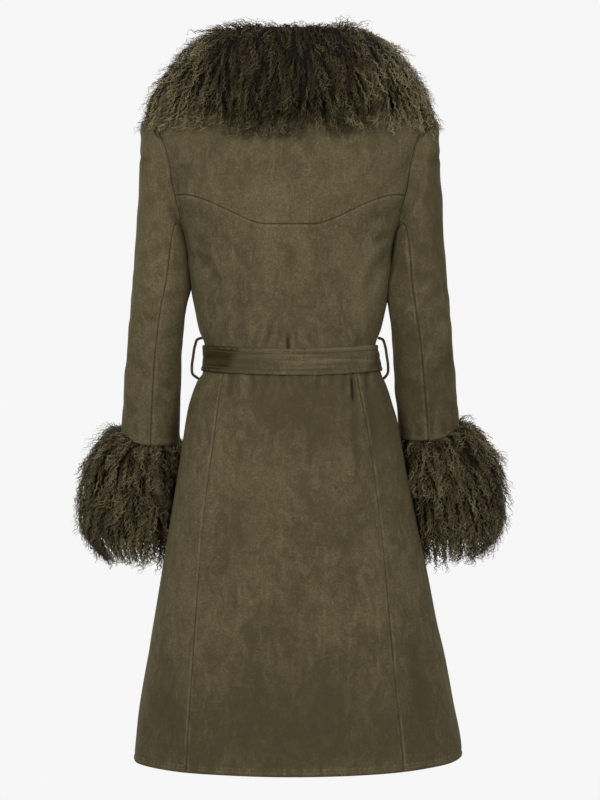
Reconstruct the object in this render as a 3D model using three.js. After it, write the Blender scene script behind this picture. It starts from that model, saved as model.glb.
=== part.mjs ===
import * as THREE from "three";

// A belted long coat of suede, filled out and hollow, with a curly fur collar and fur cuffs.
// Millimetres, +Z up, front facing -Y. The origin is the middle of the neck opening at the nape.

// ---- Driving dimensions ----
const WALL = 2;
const EVEN_SPLIT = 1e-6;
const SEAM_GAP = 0.3;
const ARMHOLE_GAPS = 1.3;
const NECK_Z = 6;
const ARMHOLE_TOP = -50;
const ARMHOLE_BOTTOM = -243;
const WAIST_Z = -435;
const HEM_Z = -1072;
const HEM_RISE = 6;
const HEM_RISE_FROM = -900;
const OVERLAP_LIFT = 4;
const LIFT_FROM = 1.2;
const LIFT_TO = 1.6;
const LIFT_TOP = -190;
const LIFT_GROWTH = 90;
const BELT_WIDTH = 42;
const BELT_THICK = 3;
const BELT_CLEAR = 1.5;
const BELT_Z_SIDE = -432;
const BELT_Z_BACK = -440.5;
const BELT_Z_FRONT = -436;
const TAIL_CLEAR = 4.7;
const TAIL_DROP = 0.4;
const LEFT_TAIL_LENGTH = 350;
const RIGHT_TAIL_LENGTH = 380;
const LOOP_WIDTH = 8;
const LOOP_THICK = 4;
const LOOP_SEAT = -0.2;
const COLLAR_CLEAR = 4.5;
const SEAM_CLEAR = 1.2;
const UNDER_STEPS = [0, 0.25, 0.5, 0.75, 1];
const THROAT_TURN = 1.15;
const THROAT_LOW = -50;
const CUFF_SKIRT_CLEAR = 5;
const RIGHT_SLEEVE_TUCK = 8;
const RIGHT_SLEEVE_RISE = 8;
const RIGHT_CUFF_OUT = 8;
const RIGHT_CUFF_DRIFT = 12;

// Body sections: level, half width, sideways shift, reach to the back, reach to the front, roundness.
const SECTIONS = table("z wide shift back front power", [
  [6, 78, 0, 56, 58, 1.7],
  [0, 92, 0, 58, 60, 1.75],
  [-15, 127, 0, 70, 68, 1.85],
  [-26, 160, 0, 77, 73, 1.95],
  [-38, 192, 0, 84, 77, 2.05],
  [-50, 222, 0, 91, 81, 2.15],
  [-88, 217, 0, 106, 98, 2.3],
  [-130, 203, 0, 114, 115, 2.25],
  [-180, 192, 0, 116, 130, 2.2],
  [-216, 178, 0, 113, 137, 2.15],
  [-243, 168, 0, 112, 141, 2.1],
  [-323, 158, 0, 104, 132, 2.1],
  [-355, 152, 0, 99, 122, 2.1],
  [-387, 145, 0, 96, 115, 2.1],
  [-412, 136.5, -0.5, 95, 111, 2.1],
  [-435, 138, -2.5, 95, 110, 2.1],
  [-458, 143, -2.8, 97, 112, 2.1],
  [-467, 148.5, -1.5, 102, 113, 2.1],
  [-499, 160, -1.5, 113, 116, 2.1],
  [-531, 168.5, -2.5, 122, 120, 2.1],
  [-600, 180, -3.5, 132, 126, 2.08],
  [-690, 196, -5, 139, 132, 2.06],
  [-787, 214.3, -7.8, 146, 140, 2.05],
  [-851, 225.3, -8.3, 152, 146, 2.05],
  [-915, 237.8, -10.4, 158, 152, 2.05],
  [-979, 249.3, -11.3, 164, 160, 2.05],
  [-1043, 259.8, -13.3, 170, 168, 2.05],
  [-1072, 262, -12.8, 172, 172, 2.05],
]);

// Distance of the armhole seam from the middle, at the back and at the front.
const ARMHOLE = table("z back front", [
  [-50, 222, 222],
  [-88, 201, 196],
  [-125, 191, 180],
  [-163, 185, 174],
  [-176, 182, 173],
  [-216, 172.5, 171],
  [-243, 168, 168],
]);

// Front edge of a bodice, as far as it reaches past the middle at the waist.
const FRONT_EDGE = table("z x", [
  [6, 72],
  [-40, 66],
  [-100, 54],
  [-200, 30],
  [-300, 3],
  [-435, -38],
]);
const SKIRT_EDGE = table("z x", [
  [-435, -38],
  [-560, -46],
  [-800, -54],
  [-1072, -60],
]);

// The two seams down the back of the skirt.
const PRINCESS = table("z left right", [
  [-435, 102, -101.5],
  [-464, 105.5, -105.5],
  [-507, 112, -113.8],
  [-550, 117, -122],
  [-597, 123.5, -128.7],
  [-680, 133, -139],
  [-744, 137.5, -145.2],
  [-821, 142.5, -151],
  [-922, 148.5, -159.3],
  [-1031, 155, -170.3],
  [-1072, 157, -173],
]);

// Soft folds of the skirt: place round the coat, half width, depth, level where it starts.
const FOLDS = [
  { at: 0.46, half: 0.14, deep: 5, from: -560 },
  { at: 0.08, half: 0.17, deep: 3.5, from: -620 },
  { at: -0.38, half: 0.16, deep: 5, from: -540 },
  { at: -0.7, half: 0.11, deep: 3, from: -700 },
  { at: 1.38, half: 0.16, deep: 6, from: -560 },
  { at: 1.75, half: 0.13, deep: 3, from: -650 },
  { at: -1.42, half: 0.15, deep: 6, from: -580 },
  { at: -1.8, half: 0.13, deep: 3, from: -640 },
];
const FOLD_GROWTH = 320;

// The yoke seam dips towards the middle, and the rows beside it dip less and less.
const YOKE_EDGE_X = 175;
const YOKE_SLOPE = 135;
const YOKE_ROW = 6;
const YOKE_DIP = 50;

// Sleeve rings: outer and inner point of each, middle and half depth, turn of the seams in degrees.
const SLEEVE = table("s ox oz ix iz y deep twist", [
  [1, 236, -52, 168.9, -247, -7, 58, -3],
  [2, 238.5, -86, 168.5, -253, -4, 57, -6],
  [3, 241, -136, 167.6, -261, -3, 57, -10],
  [4, 244, -192, 166.2, -274, -2, 56, -14],
  [5, 247, -250, 163.8, -293, 0, 54, -18],
  [6, 250.5, -300, 162.6, -320, 2, 52, -22],
  [7, 255, -350, 167, -356, 3, 50, -26],
  [8, 262, -425, 173, -425, -8, 50, -30],
  [9, 269, -495, 177, -497, -28, 50, -31],
  [10, 272.5, -535, 178.5, -541, -42, 50, -31.5],
  [11, 274, -558, 179, -566, -50, 50, -32],
]);
const SLEEVE_RINGS = 11;
const CUFF_TILT = 9;
const END_SLOPE = 4;
const END_DEEP = 50;
const SLEEVE_COLUMNS = 20;
const BACK_SEAM = 7;
const FRONT_SEAM = 13;

// Fur cuff: level, and from its own axis the reach outward, to the back, to the front
// and toward the skirt.
const CUFF = table("z out back front in", [
  [-579, 94, 72, 76, 56],
  [-600, 106, 82, 88, 58],
  [-640, 111, 87, 95, 60],
  [-680, 109, 88, 96, 60],
  [-710, 103, 82, 90, 58],
  [-735, 86, 72, 77, 52],
  [-753, 64, 60, 62, 48],
]);
const CUFF_AXIS_TOP = { x: 226.5, y: -50, z: -562 };
const CUFF_AXIS_BOTTOM = { x: 240, y: -64, z: -758 };
const CUFF_DROP = CUFF_AXIS_TOP.z - CUFF_AXIS_BOTTOM.z;
const CUFF_BOTTOM_OUT = -766;
const CUFF_BOTTOM_IN = -776;
const CUFF_RISE = 15;
const CUFF_SEAM_DROP = SEAM_GAP + 0.2;
const CUFF_BORE_TOP = 42;
const CUFF_BORE_BOTTOM = 36;
const CUFF_BORE_ROWS = [[0.7, -700], [0.4, -645], [0.1, -595]];
const CUFF_RIM = 7;
const CUFF_LEAST = 5;
const CUFF_COLUMNS = 22;

// Shawl part of the collar: level of the seam edge, place and level of the outer edge,
// depth of the pile.
const SHAWL = [
  { edge: -16, outer: 1.28, low: -74, pile: 60 },
  { edge: -48, outer: 1.4, low: -116, pile: 54 },
  { edge: -95, outer: 1.5, low: -168, pile: 49 },
  { edge: -150, outer: 1.58, low: -216, pile: 44 },
  { edge: -205, outer: 1.68, low: -258, pile: 40 },
  { edge: -255, outer: 1.79, low: -292, pile: 33 },
  { edge: -290, outer: 1.88, low: -314, pile: 22 },
  { edge: -303, outer: 1.93, low: -318, pile: 12 },
];

// ---- Curves ----
function table(names, rows) {
  const keys = names.split(" ");
  return rows.map((row) => Object.fromEntries(keys.map((key, i) => [key, row[i]])));
}

// A smooth curve through the points that never overshoots them.
function smoothCurve(xs, ys) {
  const rising = xs[1] > xs[0];
  const x = rising ? xs : [...xs].reverse();
  const y = rising ? ys : [...ys].reverse();
  const last = x.length - 1;
  const rise = [];
  for (let i = 0; i < last; i += 1) {
    rise.push((y[i + 1] - y[i]) / (x[i + 1] - x[i]));
  }
  const slope = [rise[0]];
  for (let i = 1; i < last; i += 1) {
    const same = rise[i - 1] * rise[i] > 0;
    slope.push(same ? (2 * rise[i - 1] * rise[i]) / (rise[i - 1] + rise[i]) : 0);
  }
  slope.push(rise[last - 1]);
  return (at) => {
    const value = Math.min(Math.max(at, x[0]), x[last]);
    let i = 0;
    while (i < last - 1 && value > x[i + 1]) {
      i += 1;
    }
    const span = x[i + 1] - x[i];
    const t = (value - x[i]) / span;
    const start = (1 + 2 * t) * (1 - t) ** 2 * y[i] + t * (1 - t) ** 2 * span * slope[i];
    const end = t * t * (3 - 2 * t) * y[i + 1] + t * t * (t - 1) * span * slope[i + 1];
    return start + end;
  };
}

function curvesOf(rows, key) {
  const xs = rows.map((row) => row[key]);
  const curves = {};
  for (const name of Object.keys(rows[0])) {
    curves[name] = smoothCurve(xs, rows.map((row) => row[name]));
  }
  return curves;
}

function smoothstep(t) {
  const clamped = Math.min(Math.max(t, 0), 1);
  return clamped * clamped * (3 - 2 * clamped);
}

function powered(value, power) {
  return Math.sign(value) * Math.abs(value) ** power;
}

function mix(a, b, t) {
  return a + (b - a) * t;
}

function spread(from, to, count) {
  return Array.from({ length: count + 1 }, (_, i) => mix(from, to, i / count));
}

const section = curvesOf(SECTIONS, "z");
const armhole = curvesOf(ARMHOLE, "z");
const frontEdge = curvesOf(FRONT_EDGE, "z").x;
const skirtEdge = curvesOf(SKIRT_EDGE, "z").x;
const princess = curvesOf(PRINCESS, "z");
const sleeve = curvesOf(SLEEVE, "s");

// ---- The body form ----
const LEVEL_STEP = 2;
const TURN_STEP = 0.02;
// Places round the body: 0 the middle of the back, 1 the left side, 2 the middle of the front,
// -1 the right side.
function bodyPoint(w, z) {
  const turn = (w * Math.PI) / 2;
  const power = 2 / section.power(z);
  const cos = Math.cos(turn);
  const reach = cos >= 0 ? section.back(z) : section.front(z);
  const x = section.shift(z) + section.wide(z) * powered(Math.sin(turn), power);
  return new THREE.Vector3(x, reach * powered(cos, power), z);
}

function bodyNormal(w, z) {
  const above = Math.min(z + LEVEL_STEP, NECK_Z);
  const below = Math.max(z - LEVEL_STEP, HEM_Z);
  const along = bodyPoint(w + TURN_STEP, z).sub(bodyPoint(w - TURN_STEP, z));
  const up = bodyPoint(w, above).sub(bodyPoint(w, below));
  return up.cross(along).normalize();
}

function foldOut(w, z) {
  let out = 0;
  for (const fold of FOLDS) {
    const away = ((((w - fold.at + 2) % 4) + 4) % 4) - 2;
    const growth = smoothstep((fold.from - z) / FOLD_GROWTH);
    out += fold.deep * growth * Math.exp(-((away / fold.half) ** 2));
  }
  return out;
}

// The right front lies over the left one.
function liftOf(w, z) {
  const over = OVERLAP_LIFT * smoothstep((LIFT_TOP - z) / LIFT_GROWTH);
  return w < 0 ? over * smoothstep((-w - LIFT_FROM) / (LIFT_TO - LIFT_FROM)) : 0;
}

function onBody(w, z, height) {
  const out = foldOut(w, z) + liftOf(w, z) + height;
  return bodyPoint(w, z).addScaledVector(bodyNormal(w, z), out);
}

// The place of a distance from the middle: at the back, and round the front.
function turnTo(x, z) {
  const ratio = (x - section.shift(z)) / section.wide(z);
  const sine = powered(Math.min(Math.max(ratio, -1), 1), section.power(z) / 2);
  return (Math.asin(sine) * 2) / Math.PI;
}

function frontTurn(x, z) {
  return 2 - turnTo(x, z);
}

// The side and shoulder seams, half a gap away from the side line.
function sideTurn(z, reach) {
  const near = (SEAM_GAP / 2 / reach) ** (section.power(z) / 2);
  return 1 - (Math.asin(near) * 2) / Math.PI;
}

function backEnd(z) {
  const side = sideTurn(z, section.back(z));
  const inArmhole = z < ARMHOLE_TOP && z > ARMHOLE_BOTTOM;
  return inArmhole ? Math.min(side, turnTo(armhole.back(z), z)) : side;
}

function frontEnd(z) {
  const side = 2 - sideTurn(z, section.front(z));
  const inArmhole = z < ARMHOLE_TOP && z > ARMHOLE_BOTTOM;
  return inArmhole ? Math.max(side, frontTurn(armhole.front(z), z)) : side;
}

const ARMHOLE_STEPS = 10;
const ARMHOLE_MIDDLE = (ARMHOLE_TOP + ARMHOLE_BOTTOM) / 2;
const ARMHOLE_HALF = (ARMHOLE_TOP - ARMHOLE_BOTTOM) / 2;

function armholeAngle(k) {
  return (k * Math.PI) / ARMHOLE_STEPS;
}

function armholeLevel(k) {
  return ARMHOLE_MIDDLE + ARMHOLE_HALF * Math.cos(armholeAngle(k));
}

// ---- The sleeve form ----
const FOREARM_RING = 5;
const ELBOW_RING = 8;
const ANGLE_STEP = 0.05;

function armholePoint(side, angle) {
  const z = ARMHOLE_MIDDLE + ARMHOLE_HALF * Math.cos(angle);
  const back = Math.sin(angle) >= 0;
  const w = back ? turnTo(armhole.back(z), z) : frontTurn(armhole.front(z), z);
  return { w: side * w, z, point: onBody(side * w, z, 0), normal: bodyNormal(side * w, z) };
}

function sleevePoint(side, s, angle) {
  if (s === 0) {
    return armholePoint(side, angle).point;
  }
  const toElbow = smoothstep((s - FOREARM_RING) / 2);
  const toCuff = smoothstep((s - ELBOW_RING) / 3);
  const low = toElbow * (1 - 0.6 * smoothstep((s - ELBOW_RING) / 2.5));
  const tuck = side < 0 ? RIGHT_SLEEVE_TUCK * low : 0;
  const raised = side < 0 ? RIGHT_SLEEVE_RISE * toCuff : 0;
  const turned = angle + (sleeve.twist(s) * Math.PI) / 180;
  const cos = Math.cos(turned);
  const inner = sleeve.ix(s) - tuck;
  const x = mix(inner, sleeve.ox(s), (1 + cos) / 2);
  const y = sleeve.y(s) + sleeve.deep(s) * Math.sin(turned);
  const z = mix(sleeve.iz(s), sleeve.oz(s), (1 + cos) / 2) - CUFF_TILT * toCuff * Math.sin(turned);
  return new THREE.Vector3(side * x, y, z + raised);
}

function sleeveNormal(side, s, angle) {
  const before = sleevePoint(side, Math.max(s - 1, 0), angle);
  const after = sleevePoint(side, Math.min(s + 1, SLEEVE_RINGS), angle);
  return after.sub(before).cross(roundSleeve(side, s, angle)).multiplyScalar(side).normalize();
}

function roundSleeve(side, s, angle) {
  return sleevePoint(side, s, angle + ANGLE_STEP).sub(sleevePoint(side, s, angle - ANGLE_STEP));
}

// Where sleeve and body meet, both edges lean the same way, straight down at the armpit.
function seamLean(side, angle) {
  const at = armholePoint(side, angle);
  const lean = at.normal.clone().add(sleeveNormal(side, 0, angle));
  const armpit = smoothstep((-Math.cos(angle) - 0.5) / 0.45);
  lean.multiplyScalar(1 - armpit);
  lean.add(new THREE.Vector3(0, 0, -armpit));
  return lean.normalize();
}

// ---- Solids from grids of points ----
function facingOut(positions, index) {
  let volume = 0;
  const a = new THREE.Vector3();
  const b = new THREE.Vector3();
  const c = new THREE.Vector3();
  for (let i = 0; i < index.length; i += 3) {
    a.fromArray(positions, index[i] * 3);
    b.fromArray(positions, index[i + 1] * 3);
    c.fromArray(positions, index[i + 2] * 3);
    volume += a.dot(b.cross(c));
  }
  if (volume < 0) {
    index.reverse();
  }
  const geometry = new THREE.BufferGeometry();
  geometry.setAttribute("position", new THREE.Float32BufferAttribute(positions, 3));
  geometry.setIndex(index);
  geometry.computeVertexNormals();
  return geometry;
}

// Each four-cornered cell is split along its shorter diagonal, so both halves of the coat split alike.
function quadsOf(positions) {
  const index = [];
  const length = (a, b) => {
    const steps = [0, 1, 2].map((axis) => positions[a * 3 + axis] - positions[b * 3 + axis]);
    return Math.hypot(...steps);
  };
  const quad = (a, b, c, d) => {
    if (length(a, c) < length(b, d) + EVEN_SPLIT) {
      index.push(a, b, c, a, c, d);
    } else {
      index.push(a, b, d, b, c, d);
    }
  };
  return { index, quad };
}

// A wall between an outer and an inner grid. A closed one runs round without ends.
function wallGeometry(outer, inner, closed = false) {
  const rows = outer.length;
  const columns = outer[0].length;
  const positions = [...outer.flat(), ...inner.flat()].flatMap((point) => point.toArray());
  const { index, quad } = quadsOf(positions);
  const out = (i, j) => i * columns + (j % columns);
  const inn = (i, j) => rows * columns + i * columns + (j % columns);
  const steps = closed ? columns : columns - 1;
  for (let i = 0; i < rows - 1; i += 1) {
    for (let j = 0; j < steps; j += 1) {
      quad(out(i, j), out(i, j + 1), out(i + 1, j + 1), out(i + 1, j));
      quad(inn(i, j), inn(i + 1, j), inn(i + 1, j + 1), inn(i, j + 1));
    }
  }
  const last = rows - 1;
  for (let j = 0; j < steps; j += 1) {
    quad(out(0, j), inn(0, j), inn(0, j + 1), out(0, j + 1));
    quad(out(last, j), out(last, j + 1), inn(last, j + 1), inn(last, j));
  }
  const end = columns - 1;
  for (let i = 0; i < last && !closed; i += 1) {
    quad(out(i, 0), out(i + 1, 0), inn(i + 1, 0), inn(i, 0));
    quad(out(i, end), inn(i, end), inn(i + 1, end), out(i + 1, end));
  }
  return facingOut(positions, index);
}

// Closed loops one after another, either joined end to end or capped at both ends.
function loopGeometry(loops, joined) {
  const count = loops.length;
  const around = loops[0].length;
  const positions = loops.flat().flatMap((point) => point.toArray());
  const { index, quad } = quadsOf(positions);
  const at = (i, j) => (i % count) * around + (j % around);
  for (let i = 0; i < (joined ? count : count - 1); i += 1) {
    for (let j = 0; j < around; j += 1) {
      quad(at(i, j), at(i, j + 1), at(i + 1, j + 1), at(i + 1, j));
    }
  }
  if (!joined) {
    const total = (loop) => loop.reduce((sum, point) => sum.add(point), new THREE.Vector3());
    const middle = (loop) => total(loop).divideScalar(around);
    positions.push(...middle(loops[0]).toArray(), ...middle(loops[count - 1]).toArray());
    const first = count * around;
    for (let j = 0; j < around; j += 1) {
      index.push(first, at(0, j + 1), at(0, j));
      index.push(first + 1, at(count - 1, j), at(count - 1, j + 1));
    }
  }
  return facingOut(positions, index);
}

const coat = new THREE.Group();
coat.name = "long_coat";

const SUEDE = { color: 0x51462f, roughness: 0.95 };
const BELT_SUEDE = { color: 0x564a31, roughness: 0.9 };
const FUR = { color: 0x2a2418, roughness: 0.9 };

function add(name, geometry, looks) {
  const material = new THREE.MeshStandardMaterial({ ...looks, name: `${name}_material` });
  const mesh = new THREE.Mesh(geometry, material);
  mesh.name = name;
  coat.add(mesh);
}

// ---- Body panels ----
// Each cell says where a point lies on the body, and on the armhole also at what angle of the sleeve.
function panelGeometry(cells) {
  const outer = cells.map((row) => row.map((cell) => onBody(cell.w, cell.z, 0)));
  const inner = cells.map((row, i) =>
    row.map((cell, j) => {
      const seam = cell.angle !== undefined;
      const lean = seam ? seamLean(Math.sign(cell.w), cell.angle) : bodyNormal(cell.w, cell.z);
      return outer[i][j].clone().addScaledVector(lean, -WALL);
    }),
  );
  return wallGeometry(outer, inner);
}

function yokeDip(x) {
  return smoothstep((YOKE_EDGE_X - Math.abs(x)) / YOKE_SLOPE);
}

// A row across the back from the right end to the left end, with its dip in the middle.
function backRow(level, dip, angle, shiftZ = 0) {
  const end = backEnd(level);
  return spread(-1, 1, 20).map((t) => {
    const w = t * end;
    const z = level - dip * yokeDip(bodyPoint(w, level).x) + shiftZ;
    return Math.abs(t) === 1 ? { w, z, angle } : { w, z };
  });
}

const LOWER_LEVELS = [-414, -390, -358, -322];
const SHOULDER_LEVELS = [-38, -26, -15, -3, NECK_Z];
const UNDERARM_LEVEL = -283;
const UNDERARM_DIP = 17;
const FRONT_COLUMNS = 10;

const bodiceRows = [WAIST_Z + SEAM_GAP / 2, ...LOWER_LEVELS].map((z) => backRow(z, 0));
bodiceRows.push(backRow(UNDERARM_LEVEL, UNDERARM_DIP));
const BODICE_DIPS = [34, 29, 29, 38];
BODICE_DIPS.forEach((dip, i) => {
  const k = ARMHOLE_STEPS - i;
  bodiceRows.push(backRow(armholeLevel(k), dip, armholeAngle(k)));
});
bodiceRows.push(backRow(armholeLevel(YOKE_ROW), YOKE_DIP, armholeAngle(YOKE_ROW), -SEAM_GAP / 2));
add("back_bodice", panelGeometry(bodiceRows), SUEDE);

const YOKE_DIPS = [28, 12, 3, 0, 0, 0];
const yokeRows = [backRow(armholeLevel(YOKE_ROW), YOKE_DIP, armholeAngle(YOKE_ROW), SEAM_GAP / 2)];
YOKE_DIPS.forEach((dip, i) => {
  yokeRows.push(backRow(armholeLevel(YOKE_ROW - 1 - i), dip, armholeAngle(YOKE_ROW - 1 - i)));
});
SHOULDER_LEVELS.forEach((z) => yokeRows.push(backRow(z, 0)));
add("back_yoke", panelGeometry(yokeRows), SUEDE);

// A row of a front from its side to its free edge.
function frontRow(side, z, edgeX, columns, angle) {
  const start = frontEnd(z);
  const end = frontTurn(edgeX, z);
  return spread(start, end, columns).map((w, j) =>
    j === 0 && angle !== undefined ? { w: side * w, z, angle: -angle } : { w: side * w, z },
  );
}

function frontBodice(side) {
  const edge = (z) => (side < 0 ? frontEdge(z) + 2 * section.shift(z) : frontEdge(z));
  const below = [WAIST_Z + SEAM_GAP / 2, ...LOWER_LEVELS, UNDERARM_LEVEL];
  const rows = below.map((z) => frontRow(side, z, edge(z), FRONT_COLUMNS));
  for (let k = ARMHOLE_STEPS; k >= 0; k -= 1) {
    const z = armholeLevel(k);
    rows.push(frontRow(side, z, edge(z), FRONT_COLUMNS, armholeAngle(k)));
  }
  SHOULDER_LEVELS.forEach((z) => rows.push(frontRow(side, z, edge(z), FRONT_COLUMNS)));
  return panelGeometry(rows);
}
add("front_bodice_left", frontBodice(1), SUEDE);
add("front_bodice_right", frontBodice(-1), SUEDE);

const SKIRT_LEVELS = [
  WAIST_Z - SEAM_GAP / 2, -458, -480, -510, -555, -615, -690, -770, -850, -930, -1000, -1045, HEM_Z,
];

// The hem sits a little higher at the right side.
function hemRise(w, z) {
  const right = Math.max(0, -Math.sin((w * Math.PI) / 2));
  return HEM_RISE * right ** 2 * smoothstep((HEM_RISE_FROM - z) / (HEM_RISE_FROM - HEM_Z));
}

function skirtRows(place) {
  return SKIRT_LEVELS.map((z) => place(z).map((w) => ({ w, z: z + hemRise(w, z) })));
}

const HALF_GAP = SEAM_GAP / 2;
const backSkirt = skirtRows((z) =>
  spread(turnTo(princess.right(z) + HALF_GAP, z), turnTo(princess.left(z) - HALF_GAP, z), 10),
);
add("back_skirt", panelGeometry(backSkirt), SUEDE);

const sideLeft = skirtRows((z) => spread(turnTo(princess.left(z) + HALF_GAP, z), backEnd(z), 6));
add("side_skirt_left", panelGeometry(sideLeft), SUEDE);

const sideRight = skirtRows((z) => spread(turnTo(princess.right(z) - HALF_GAP, z), -backEnd(z), 6));
add("side_skirt_right", panelGeometry(sideRight), SUEDE);

const frontLeft = skirtRows((z) => spread(frontEnd(z), frontTurn(skirtEdge(z), z), 12));
add("front_skirt_left", panelGeometry(frontLeft), SUEDE);

const frontRight = skirtRows((z) => spread(-frontEnd(z), frontTurn(-skirtEdge(z), z) - 4, 12));
add("front_skirt_right", panelGeometry(frontRight), SUEDE);

// ---- Sleeves ----
// A top sleeve is made in three lengths that end a hair's breadth apart at whole rings.
const LENGTH_GAP = 0.003;
const TOP_SLEEVE_LENGTHS = [["cap", 0, 3], ["middle", 3, 7], ["lower", 7, SLEEVE_RINGS]];

function ringsBetween(first, last) {
  const rings = [];
  for (let s = first; s <= last; s += 1) {
    const cutAbove = s === first && s > 0 ? LENGTH_GAP : 0;
    const cutBelow = s === last && s < SLEEVE_RINGS ? LENGTH_GAP : 0;
    rings.push(s + cutAbove - cutBelow);
  }
  return rings;
}

function sleeveLength(side, from, to, rings) {
  const outer = [];
  const inner = [];
  for (const s of rings) {
    const outerRow = [];
    const innerRow = [];
    for (let column = from; column <= to; column += 1) {
      const angle = (column * 2 * Math.PI) / SLEEVE_COLUMNS;
      const point = sleevePoint(side, s, angle);
      const lean = s === 0 ? seamLean(side, angle) : sleeveNormal(side, s, angle);
      const along = roundSleeve(side, s, angle).normalize();
      if (s === 0) {
        const apart = along.clone().cross(lean).normalize();
        point.addScaledVector(apart, SEAM_GAP * ARMHOLE_GAPS * Math.sign(apart.x * side));
      }
      const edge = column === from ? 1 : column === to ? -1 : 0;
      point.addScaledVector(along, (edge * SEAM_GAP) / 2);
      outerRow.push(point);
      innerRow.push(point.clone().addScaledVector(lean, -WALL));
    }
    outer.push(outerRow);
    inner.push(innerRow);
  }
  return wallGeometry(outer, inner);
}
for (const [name, side] of [["left", 1], ["right", -1]]) {
  for (const [part, first, last] of TOP_SLEEVE_LENGTHS) {
    const top = sleeveLength(side, FRONT_SEAM, BACK_SEAM + SLEEVE_COLUMNS, ringsBetween(first, last));
    add(`${name}_top_sleeve_${part}`, top, SUEDE);
  }
  const under = sleeveLength(side, BACK_SEAM, FRONT_SEAM, ringsBetween(0, SLEEVE_RINGS));
  add(`${name}_under_sleeve`, under, SUEDE);
}

// ---- Fur cuffs ----
const cuff = curvesOf(CUFF, "z");

function clearOfSkirt(x, y, z) {
  const power = section.power(z);
  const across = Math.abs(x - section.shift(z)) / (section.wide(z) + CUFF_SKIRT_CLEAR);
  const along = Math.abs(y) / ((y > 0 ? section.back(z) : section.front(z)) + CUFF_SKIRT_CLEAR);
  return across ** power + along ** power > 1;
}

function furCuff(side) {
  const raised = side < 0 ? RIGHT_SLEEVE_RISE : 0;
  const tuck = side < 0 ? RIGHT_SLEEVE_TUCK * 0.2 : 0;
  const drift = side < 0 ? RIGHT_CUFF_DRIFT : 0;
  const endHalf = (sleeve.ox(SLEEVE_RINGS) - sleeve.ix(SLEEVE_RINGS)) / 2 + tuck;
  const place = (r, angle, z, onEnd) => {
    const down = smoothstep((CUFF_AXIS_TOP.z - z) / CUFF_DROP);
    const axisX = mix(CUFF_AXIS_TOP.x - tuck, CUFF_AXIS_BOTTOM.x + drift, down);
    const axisY = mix(CUFF_AXIS_TOP.y, CUFF_AXIS_BOTTOM.y, down);
    const across = r * Math.cos(angle);
    const along = r * Math.sin(angle);
    const onPlane = (END_SLOPE * across) / endHalf - (CUFF_TILT * along) / END_DEEP;
    const level = onEnd ? z + raised + onPlane : z;
    return new THREE.Vector3(side * (axisX + across), axisY + along, level);
  };
  // Beside the skirt the fur is pressed in as far as the skirt asks.
  const limited = (wanted, angle, z, onEnd) => {
    const down = smoothstep((CUFF_AXIS_TOP.z - z) / CUFF_DROP);
    const least = mix(CUFF_BORE_TOP, CUFF_BORE_BOTTOM, down) + CUFF_LEAST;
    let r = wanted;
    let point = place(r, angle, z, onEnd);
    while (r > least && !clearOfSkirt(point.x, point.y, z)) {
      r -= 1;
      point = place(r, angle, z, onEnd);
    }
    return point;
  };
  const loops = [];
  for (let column = 0; column < CUFF_COLUMNS; column += 1) {
    const angle = (column * 2 * Math.PI) / CUFF_COLUMNS;
    const cos = Math.cos(angle);
    const sin = Math.sin(angle);
    const outward = smoothstep((cos - 0.2) / 0.7);
    const beside = smoothstep((cos + 0.2) / 0.4);
    const rise = CUFF_RISE * outward;
    const endReach = 1 / Math.hypot(cos / endHalf, sin / END_DEEP);
    const seam = CUFF_AXIS_TOP.z - CUFF_SEAM_DROP;
    const end = endReach + mix(-0.5, 1.2, beside) + 1.8 * outward;
    const loop = [
      place(CUFF_BORE_TOP, angle, seam, true),
      limited(end, angle, seam, true),
      limited(endReach + mix(2, 4.5, outward), angle, seam - 0.2 + rise * 0.7, true),
      limited(endReach + mix(6, 11, outward), angle, CUFF_AXIS_TOP.z - 3 + rise, true),
    ];
    for (const row of CUFF) {
      const down = smoothstep((CUFF_AXIS_TOP.z - row.z) / CUFF_DROP);
      const more = side < 0 ? mix(RIGHT_CUFF_OUT + tuck, 2 - drift, down) : 0;
      const reachX = cos > 0 ? row.out + more : row.in;
      const reachY = sin > 0 ? row.back : row.front;
      loop.push(limited(1 / Math.hypot(cos / reachX, sin / reachY), angle, row.z));
    }
    const bottom = mix(CUFF_BOTTOM_IN, CUFF_BOTTOM_OUT, smoothstep((cos + 1) / 2));
    loop.push(place(CUFF_BORE_BOTTOM + CUFF_RIM, angle, bottom + 2));
    loop.push(place(CUFF_BORE_BOTTOM, angle, bottom));
    for (const [down, level] of CUFF_BORE_ROWS) {
      loop.push(place(mix(CUFF_BORE_TOP, CUFF_BORE_BOTTOM, down), angle, level));
    }
    loops.push(loop);
  }
  return loopGeometry(loops, true);
}
add("fur_cuff_left", furCuff(1), FUR);
add("fur_cuff_right", furCuff(-1), FUR);

// ---- Fur collar ----
// Round the neck it stands up and falls outward. Each station is one loop of named points.
function neckStation(side, degrees) {
  const angle = (degrees * Math.PI) / 180;
  const w = (side * degrees) / 90;
  const sin = Math.sin(angle);
  const cos = Math.cos(angle);
  const side2 = sin * sin;
  const polar = (x, y, z) => new THREE.Vector3(side * x * sin, y * cos, z);
  const low = mix(-54, -42, side2);
  const under = UNDER_STEPS.map((t) => ({ w, z: mix(1, low, t) }));
  const top = [
    polar(230, 116, mix(-70, -42, side2)),
    polar(226, 140, mix(-42, -21, side2)),
    polar(210, 150, mix(6, 8, side2)),
    polar(187, 138, mix(49, 40, side2)),
    polar(149, 114, mix(78, 75, side2)),
    polar(117, 86, mix(87, 88, side2)),
    polar(102, 71, mix(62, 62, side2)),
    polar(92, 63, mix(30, 32, side2)),
  ];
  return { under, top };
}

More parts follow.
